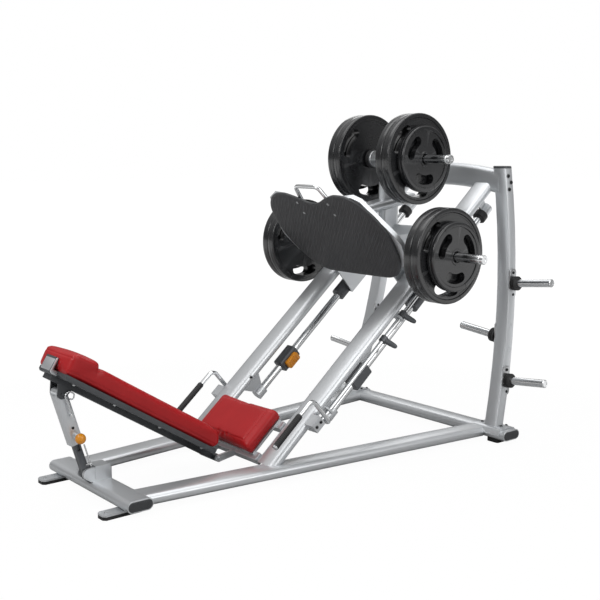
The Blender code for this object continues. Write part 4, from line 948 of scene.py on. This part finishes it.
def makeBack():
    low, high = localBox(backAxes, "back_pad")
    shrink = backLook["shrink"]
    low, high = low + shrink, high - shrink
    low[2] -= shrink * 0.9
    half = high[1]
    headTop = high[2]
    top = headTop - 0.018
    head = high[0] - backLook["headLong"]
    notch, r = backLook["notch"], backLook["round"]
    outline = [(low[0] + 0.020, low[2]), (high[0] - 0.006, low[2]), (high[0] - 0.001, low[2] + 0.008),
               (high[0], headTop - r), (high[0] - r * 0.3, headTop - r * 0.35), (high[0] - r, headTop),
               (head + 0.024, headTop), (head + 0.010, headTop - 0.005), (head + 0.003, headTop - 0.018),
               (head, top - notch), (head - 0.005, top - notch + 0.003), (head - 0.013, top - 0.004),
               (head - 0.026, top), (low[0] + 0.066, top), (low[0] + 0.036, top - 0.004), (low[0] + 0.012, top - 0.020),
               (low[0], top - 0.046), (low[0] + 0.003, low[2] + 0.014)]
    build = bmesh.new()
    rings = []
    for y, distance in ((-half, 0.015), (-half + 0.004, 0.007), (-half + 0.012, 0.001), (-half + 0.020, 0),
                        (half - 0.020, 0), (half - 0.012, 0.001), (half - 0.004, 0.007), (half, 0.015)):
        ring = inset(outline, distance) if distance else outline
        rings.append([build.verts.new(backAxes @ Vector((x, y, max(z, low[2])))) for x, z in ring])
    for below, above in zip(rings, rings[1:]):
        bridge(build, below, above, 0)
    build.faces.new(rings[0])
    build.faces.new(rings[-1])
    piece = padded(build, "backCushion", backLook)
    for y in (-half, half):
        welt = [backAxes @ Vector((t, y, low[2] + 0.014)) for t in (low[0] + 0.01, high[0] - 0.005)]
        pressSeam(piece, onSurface(piece, welt, 90), backLook["seamDeep"], backLook["seamWide"])
        edge = [backAxes @ Vector((t, y * 0.955, headTop + 0.004)) for t in (head + 0.014, high[0] - 0.018)]
        pressSeam(piece, onSurface(piece, edge, 30), backLook["seamDeep"] * 0.6, backLook["seamWide"])
    crest = [backAxes @ Vector((high[0] + 0.004, y, headTop - 0.024)) for y in (-half, half)]
    pressSeam(piece, onSurface(piece, crest, 40), backLook["seamDeep"], backLook["seamWide"])
    piece.data.shade_smooth()
    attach(piece, "back_rest")
    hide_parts("back_pad")


makeSeat()
makeBack()
print("leg press: cushions made")


# Lock shafts with their pegs, and the hand levers

leverLook = {"bar": 0.011, "out": 0.055, "dip": 0.004, "bend": 0.028, "grip": 0.0148, "gripLong": 0.190,
             "pegs": (0.503, 0.667, 0.831), "pegLong": 0.0745, "pegLean": 55, "collar": 0.0185}


def makeLever(side, way):
    node = f"lock_shaft_{side}"
    low, high = localBox(slopeAxes, node)
    s0, y0, n0 = slopeAxes.inverted() @ Vector(joints[f"lock_turn_{side}"]["pos_m"])
    look = leverLook
    r, lift = look["bar"], high[2] - look["grip"]
    y1 = y0 + way * look["out"]
    build = bmesh.new()
    lathe(build, pointing(slopeAxes @ Vector((s0 - 0.012, y0, n0)), slopeUp),
          [(0, 0), (r - 0.001, 0), (r, 0.001), (r, high[0] - s0 + 0.011), (r - 0.001, high[0] - s0 + 0.012),
           (0, high[0] - s0 + 0.012)], 0, 28)
    corners = [(s0, y0, n0 - look["dip"]), (s0, y1, n0 - look["dip"]), (s0, y1, lift), (low[0] + 0.005, y1, lift)]
    sweep(build, [slopeAxes @ p for p in filleted(corners, look["bend"])], r * 0.96, 0)
    g, long = look["grip"], look["gripLong"]
    start = slopeAxes @ Vector((low[0], y1, lift))
    axes = pointing(start, slopeUp)
    lathe(build, axes, [(0, 0), (g - 0.002, 0), (g - 0.0005, 0.002), (g - 0.0005, 0.010), (0, 0.010)], 1, 32)
    profile = [(0, 0.0105), (g, 0.0105), (g, 0.018)]
    for ring in range(18):
        at = 0.020 + ring * (long - 0.034) / 18
        profile += [(g - 0.0009, at), (g - 0.0009, at + 0.0012), (g, at + 0.0022), (g, at + 0.0068)]
    profile += [(g, long - 0.008), (g - 0.002, long - 0.002), (r, long), (0, long)]
    lathe(build, axes, profile, 2, 32)
    down = slopeAxes.to_3x3() @ Vector((0, way * math.sin(math.radians(look["pegLean"])),
                                        -math.cos(math.radians(look["pegLean"]))))
    c = look["collar"]
    for up in look["pegs"]:
        centre = slopeAxes @ Vector((s0 + up, y0, n0))
        lathe(build, pointing(centre - slopeUp * 0.016, slopeUp),
              [(0, 0), (c - 0.002, 0), (c, 0.002), (c, 0.030), (c - 0.002, 0.032), (0, 0.032)], 3, 28)
        p = look["pegLong"]
        lathe(build, pointing(centre, down), [(0, 0.004), (0.0138, 0.004), (0.0136, p * 0.5), (0.0120, p * 0.8),
                                              (0.0095, p * 0.94), (0.0055, p), (0, p)], 3, 24)
    piece = finishPiece(build, f"lockLever_{side}", f"lock_{side}",
                        [polishedChrome, brushedSteel, gripRubber, greyPaint])
    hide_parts(node)


for side, way in sides:
    makeLever(side, way)


# Adjustable stops: a clamp on the rod with a coloured squeeze grip

stopLook = {"bore": 0.0200, "gripLong": 0.084, "gripTall": 0.046, "ribs": 5}


def sleeveBlock(build, axes, outline, bore, low, high, finish):
    # an outline with a round hole through it, along the Z of axes
    turns = [math.atan2(y, x) for x, y in outline]
    hole = [(bore * math.cos(a), bore * math.sin(a)) for a in turns]
    levels = ((hole, low), (inset(outline, 0.003), low), (outline, low + 0.003), (outline, high - 0.003),
              (inset(outline, 0.003), high), (hole, high))
    rings = [[build.verts.new(axes @ Vector((x, y, z))) for x, y in ring] for ring, z in levels]
    for below, above in zip(rings, rings[1:] + rings[:1]):
        bridge(build, below, above, finish)


def makeStop(side, way):
    node = f"safety_stop_{side}"
    low, high = localBox(slopeAxes, node)
    rod = localBox(slopeAxes, f"guide_rod_{side}")
    rodMiddle = (rod[0] + rod[1]) / 2
    half = (high[2] - low[2]) / 2
    long = high[0] - low[0]
    centre = slopeAxes @ Vector(((low[0] + high[0]) / 2, rodMiddle[1], rodMiddle[2]))
    axes = pointing(centre, slopeUp, slopeOut)
    build = bmesh.new()
    sleeveBlock(build, axes, roundedBox(2 * half, 2 * half, 0.014, 8), stopLook["bore"], -long / 2, long / 2, 0)
    for z in (-long / 2 + 0.016, long / 2 - 0.016):
        socketBolt(build, axes @ Vector((0, -half + 0.0012, z)), -slopeOut, 0.0055, 2)
    grip = pointing(centre - slopeOut * 0.006, across * -way, slopeOut)
    outline = roundedBox(stopLook["gripTall"], stopLook["gripLong"], 0.012)
    flat = [(y, x) for x, y in outline]
    slab(build, grip, flat, half - 0.001, half + 0.0215, 1, 0.004, 2)
    for k in range(stopLook["ribs"]):
        x = (k - (stopLook["ribs"] - 1) / 2) * 0.0125
        slab(build, grip @ Matrix.Translation((x, 0, 0)), roundedBox(0.005, stopLook["gripTall"] * 0.74, 0.0022, 3),
             half + 0.020, half + 0.024, 1, 0.001)
    piece = finishPiece(build, f"safetyStop_{side}", f"stop_{side}",
                        [greyPaint, orangePlastic, blackBolt])
    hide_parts(node)


for side, way in sides:
    makeStop(side, way)
print("leg press: levers and stops made")


# Strut: pull knob, safety wire and guide pin

knobLook = {"barrel": 0.0112, "barrelLong": 0.011, "ball": 0.0225, "pin": 0.0058}


def makeKnob():
    low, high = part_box("strut_knob")
    middle = (low + high) / 2
    face = high.y - 0.040
    axes = pointing(Vector((middle.x, face, middle.z)), -across)
    look = knobLook
    build = bmesh.new()
    lathe(build, axes, [(0, -0.040), (look["pin"] - 0.001, -0.040), (look["pin"], -0.039), (look["pin"], 0), (0, 0)],
          0, 20)
    lathe(build, axes, [(0, 0), (0.0095, 0), (look["barrel"], 0.0015), (look["barrel"], 0.0045), (0.0095, 0.0055),
                        (0.0095, look["barrelLong"]), (0, look["barrelLong"])], 0, 28)
    ball, far = look["ball"], face - low.y
    centre = far - ball * 0.98
    profile = [(0, look["barrelLong"] * 0.6)]
    for k in range(1, 15):
        a = math.pi * k / 15
        r = ball * math.sin(a)
        profile.append((r, centre - ball * 0.98 * math.cos(a)))
    profile = [(r, z) for r, z in profile if r > 0.009 or z > centre] + [(0, centre + ball * 0.98)]
    profile = [(0, profile[0][1])] + profile
    lathe(build, axes, profile, 1, 36)
    piece = finishPiece(build, "pullKnob", "pull_knob", [brushedSteel, orangePlastic])
    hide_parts("strut_knob")


makeKnob()


strutLook = {"rod": (0.021, -0.034), "rodRadius": 0.0034,  # beside the tube, clear of it when the strut closes
             "lug": [(0.004, -0.0155), (0.014, -0.0155), (0.027, -0.029), (0.027, -0.038), (0.016, -0.038),
                     (0.004, -0.026)]}


def strutPoint(x, y, z):
    return strutFoot + strutAxes.to_3x3() @ Vector((x, y, z))


def makeStrutTrim():
    low, high = localBox(strutAxes, "strut_tube")
    base = strutAxes.inverted() @ strutFoot
    top, bottom = high[2] - base.z, low[2] - base.z
    half = (high[0] - low[0]) / 2
    build = bmesh.new()
    hook = [(0.006, -0.043, top - 0.120), (0.010, -0.043, top - 0.070), (0.004, -0.043, top - 0.030),
            (0.028, -0.043, top - 0.018), (0.046, -0.043, top - 0.040), (0.034, -0.043, top - 0.062),
            (0.020, -0.043, top - 0.050)]
    sweep(build, [strutPoint(*p) for p in filleted(hook, 0.009, 5)], 0.0030, 0, 12)
    lathe(build, pointing(strutPoint(0.006, -0.0285, top - 0.120), -across),
          [(0, 0), (0.006, 0), (0.006, 0.017), (0.004, 0.018), (0, 0.018)], 0, 20)
    socketBolt(build, strutPoint(0.0, -half, bottom + 0.075), -across, 0.006, 1)
    finishPiece(build, "strutWire", "strut_upper", [polishedChrome, blackBolt])
    build = bmesh.new()
    rod = strutLook["rod"]
    sweep(build, [strutPoint(*rod, 0.030), strutPoint(*rod, bottom - 0.012)], strutLook["rodRadius"], 0, 14)
    for z in (0.033, 0.046):
        lathe(build, pointing(strutPoint(*rod, z), strutUp), [(0, 0), (0.0055, 0), (0.0055, 0.007), (0, 0.007)], 0, 6)
    slab(build, Matrix.Translation(strutFoot) @ strutAxes.to_3x3().to_4x4(), strutLook["lug"], 0.0405, 0.0455, 0,
         0.0008, 2)
    finishPiece(build, "strutRod", "strut_lower", [polishedChrome])


makeStrutTrim()


# Screws, plugs and covers

def hitOn(node, origin, direction):
    hit, spot, normal, _ = frame["nodes"][node].ray_cast(Vector(origin), Vector(direction))
    return (spot, normal) if hit else (None, None)


uprightLook = {"screws": ((1.314, -0.008), (1.282, 0.010), (1.247, -0.008)), "plugs": (0.565, 0.449),
               "screw": 0.0085, "plug": 0.012, "saddleReach": 0.061, "saddleSide": 0.020}


def uprightMiddle(side, way, z):
    low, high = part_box(f"upright_{side}")
    share = z / high.z
    y = way * (0.527 + (0.400 - 0.527) * share)
    front, _ = hitOn(f"upright_{side}", (low.x - 0.5, y, z), (1, 0, 0))
    rear, _ = hitOn(f"upright_{side}", (high.x + 0.5, y, z), (-1, 0, 0))
    return Vector(((front.x + rear.x) / 2, y, z))


def boltFound(build, node, origin, direction, radius, upright=False):
    # a screw where the line from origin meets the node
    spot, normal = hitOn(node, origin, direction)
    if spot:
        socketBolt(build, spot, upward if upright else normal, radius, 0, 1)


def makeFrameScrews():
    build = bmesh.new()
    for side, way in sides:
        post = f"upright_{side}"
        for z, shift in uprightLook["screws"]:
            middle = uprightMiddle(side, way, z)
            spot, normal = hitOn(post, (middle.x + shift, way, z), (0, -way, 0))
            socketBolt(build, spot - normal * 0.0003, normal, uprightLook["screw"], 0, 1)
        for z in uprightLook["plugs"]:
            middle = uprightMiddle(side, way, z)
            spot, normal = hitOn(post, (middle.x, way, z), (0, -way, 0))
            r = uprightLook["plug"]
            lathe(build, pointing(spot, normal), [(0, -0.001), (r, -0.001), (r, 0.0008), (r - 0.0015, 0.0016),
                                                  (r - 0.003, 0.0016), (r - 0.0036, 0.0009), (0, 0.0012)], 2, 32)
        foot = uprightMiddle(side, way, 0.14)
        for dy in (-1, 1):
            for dx in (-1, 1):
                x, y = foot.x + dx * uprightLook["saddleSide"], foot.y + dy * uprightLook["saddleReach"]
                boltFound(build, post, (x, y, 0.13), (0, 0, -1), 0.0065, True)
        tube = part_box("front_cross_tube")
        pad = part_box(f"foot_pad_front_{side}")
        middle = (pad[0] + pad[1]) / 2
        spot, normal = hitOn("front_cross_tube", (tube[0].x + 0.024, middle.y, 0.2), (0, 0, -1))
        socketBolt(build, spot, upward, 0.006, 1)
        column = slopeAxes.inverted() @ Vector(joints[f"lock_turn_{side}"]["pos_m"])
        # two on the column's inside face, then two on the outer face of the lever box
        for up, reach, lift, out in ((0.075, 0.0, 0.060, 1), (-0.085, 0.0, 0.060, 1), (-0.068, 0.8, 0.050, -1),
                                     (-0.038, 0.8, 0.050, -1)):
            origin = slopeAxes @ Vector((column.x + up, way * reach, column.z + lift))
            boltFound(build, f"incline_column_{side}", origin, (0, way * out, 0), 0.0070)
    finishPiece(build, "frameScrews", "frame", [blackBolt, brushedSteel, silverPaint])


makeFrameScrews()


bracketLook = {"half": 0.0425, "reach": 0.040, "skin": 0.0004, "edge": 0.004}


def makeBackTrim():
    # the bright end bracket at the head, and screws along the underside of the board
    low, high = localBox(backAxes, "back_frame")
    pad = localBox(backAxes, "back_pad")
    end, skin = high[0], bracketLook["skin"]
    under, top = pad[0][2] - 0.0223, high[2]
    outline = [(end - bracketLook["reach"], under - skin), (end - 0.012, under - skin), (end - 0.004, under + 0.002),
               (end + skin, under + 0.010), (end + skin, top - 0.010), (end - 0.003, top - 0.002),
               (end - 0.008, top + skin),
               (end - 0.0130, top + skin), (end - 0.0132, under + 0.0205), (end - bracketLook["reach"], under + 0.0205)]
    axes = Matrix((backUp, backOut, backUp.cross(backOut))).transposed().to_4x4()
    build = bmesh.new()
    slab(build, axes, outline, -bracketLook["half"], bracketLook["half"], 0, bracketLook["edge"], 3)
    finishPiece(build, "headBracket", "back_rest", [silverPaint])
    build = bmesh.new()
    board = frame["nodes"]["back_frame"]
    for share in (0.16, 0.42, 0.68, 0.90):
        for way in (-1, 1):
            start = backAxes @ Vector((low[0] + (high[0] - low[0]) * share, way * 0.098, -0.3))
            hit, spot, normal, _ = board.ray_cast(start, backOut)
            if hit:
                socketBolt(build, spot, -backOut, 0.0065, 0, 0)
    finishPiece(build, "boardScrews", "back_rest", [brushedSteel])


makeBackTrim()
print("leg press: screws and trim made")


# Floor, light and camera

studio = {
    "floor": (0.45, 0.45, 0.45), "floorGlow": 0.93, "glowStrength": 1.04, "fadeFrom": 1.9, "fadeTo": 3.6,
    "skyHigh": 0.62, "skyLow": 0.10,
    "lamps": (("keyRight", (0.6, -4.2, 3.0), (0.1, 0, 0.7), 3.2, 70),  # place, target, size, watts
              ("topSoft", (0.2, 0.4, 4.2), (0.1, 0, 0.6), 3.5, 56),
              ("headSide", (-3.0, -0.2, 2.9), (-0.3, 0, 0.4), 1.3, 34),
              ("backFill", (3.2, 2.6, 2.6), (0.1, 0, 0.9), 1.8, 14))}
cameraLook = {"azimuth": -39.16, "elevation": 8.5, "distance": 4.85, "lens": 59.76,
              "target": (0.1614, 0.0304, 0.7211)}


def areaLight(name, place, target, size, watts):
    data = bpy.data.lights.new(name, "AREA")
    data.size, data.energy = size, watts
    lamp = bpy.data.objects.new(name, data)
    lamp.location = place
    lamp.rotation_euler = (Vector(target) - Vector(place)).to_track_quat("-Z", "Y").to_euler()
    bpy.context.scene.collection.objects.link(lamp)


def makeStudio():
    build = bmesh.new()
    bmesh.ops.create_grid(build, x_segments=2, y_segments=2, size=40)
    mesh = bpy.data.meshes.new("studioFloor")
    build.to_mesh(mesh)
    build.free()
    floor = bpy.data.objects.new("studioFloor", mesh)
    floor.location.z = -0.0005
    bpy.context.scene.collection.objects.link(floor)
    paint = bpy.data.materials.new("floorWhite")
    paint.use_nodes = True
    shader = paint.node_tree.nodes["Principled BSDF"]
    shader.inputs["Base Color"].default_value = (*studio["floor"], 1)
    shader.inputs["Roughness"].default_value = 0.9
    shader.inputs["Specular IOR Level"].default_value = 0.1
    tree = paint.node_tree  # the floor fades to the white backdrop away from the machine
    glow = addNode(tree, "ShaderNodeEmission")
    blend = addNode(tree, "ShaderNodeMixShader")
    place = addNode(tree, "ShaderNodeTexCoord")
    reach = addNode(tree, "ShaderNodeVectorMath", operation="LENGTH")
    fade = addNode(tree, "ShaderNodeMapRange", interpolation_type="SMOOTHSTEP")
    fade.inputs["From Min"].default_value = studio["fadeFrom"]
    fade.inputs["From Max"].default_value = studio["fadeTo"]
    glow.inputs["Strength"].default_value = studio["glowStrength"]
    looked = addNode(tree, "ShaderNodeLightPath")
    bleach = addNode(tree, "ShaderNodeMath", operation="MULTIPLY")  # the camera sees the floor nearly white
    bleach.inputs[1].default_value = studio["floorGlow"]
    tree.links.new(looked.outputs["Is Camera Ray"], bleach.inputs[0])
    tree.links.new(bleach.outputs[0], fade.inputs["To Min"])
    tree.links.new(place.outputs["Object"], reach.inputs[0])
    tree.links.new(reach.outputs["Value"], fade.inputs["Value"])
    tree.links.new(fade.outputs["Result"], blend.inputs["Fac"])
    tree.links.new(shader.outputs["BSDF"], blend.inputs[1])
    tree.links.new(glow.outputs["Emission"], blend.inputs[2])
    tree.links.new(blend.outputs["Shader"], tree.nodes["Material Output"].inputs["Surface"])
    mesh.materials.append(paint)
    world = bpy.data.worlds.new("studioSky")
    bpy.context.scene.world = world
    world.use_nodes = True
    tree = world.node_tree
    back = tree.nodes["Background"]
    place = addNode(tree, "ShaderNodeTexCoord")
    split = addNode(tree, "ShaderNodeSeparateXYZ")
    rise = addNode(tree, "ShaderNodeMapRange", interpolation_type="SMOOTHSTEP")
    rise.inputs["From Min"].default_value = -0.1
    rise.inputs["From Max"].default_value = 0.9
    rise.inputs["To Min"].default_value = studio["skyLow"]
    rise.inputs["To Max"].default_value = studio["skyHigh"]
    seen = addNode(tree, "ShaderNodeLightPath")
    white = addNode(tree, "ShaderNodeMix", data_type="FLOAT")
    white.inputs["B"].default_value = 1.0
    link = tree.links.new
    link(place.outputs["Generated"], split.inputs[0])
    link(split.outputs["Z"], rise.inputs["Value"])
    link(seen.outputs["Is Camera Ray"], white.inputs["Factor"])
    link(rise.outputs["Result"], white.inputs["A"])
    link(white.outputs["Result"], back.inputs["Strength"])
    back.inputs["Color"].default_value = (1, 1, 1, 1)
    for lamp in studio["lamps"]:
        areaLight(*lamp)
    bpy.context.scene.view_settings.view_transform = "Standard"
    data = bpy.data.cameras.new("studioCamera")
    data.lens, data.sensor_width = cameraLook["lens"], 36
    data.clip_start, data.clip_end = 0.05, 200
    camera = bpy.data.objects.new("studioCamera", data)
    turn, tilt = math.radians(cameraLook["azimuth"]), math.radians(cameraLook["elevation"])
    sight = Vector((-math.sin(turn) * math.cos(tilt), math.cos(turn) * math.cos(tilt), -math.sin(tilt)))
    camera.location = Vector(cameraLook["target"]) - sight * cameraLook["distance"]
    camera.rotation_euler = (math.pi / 2 - tilt, 0, turn)
    bpy.context.scene.collection.objects.link(camera)
    bpy.context.scene.camera = camera


makeStudio()
print("leg press: studio made")
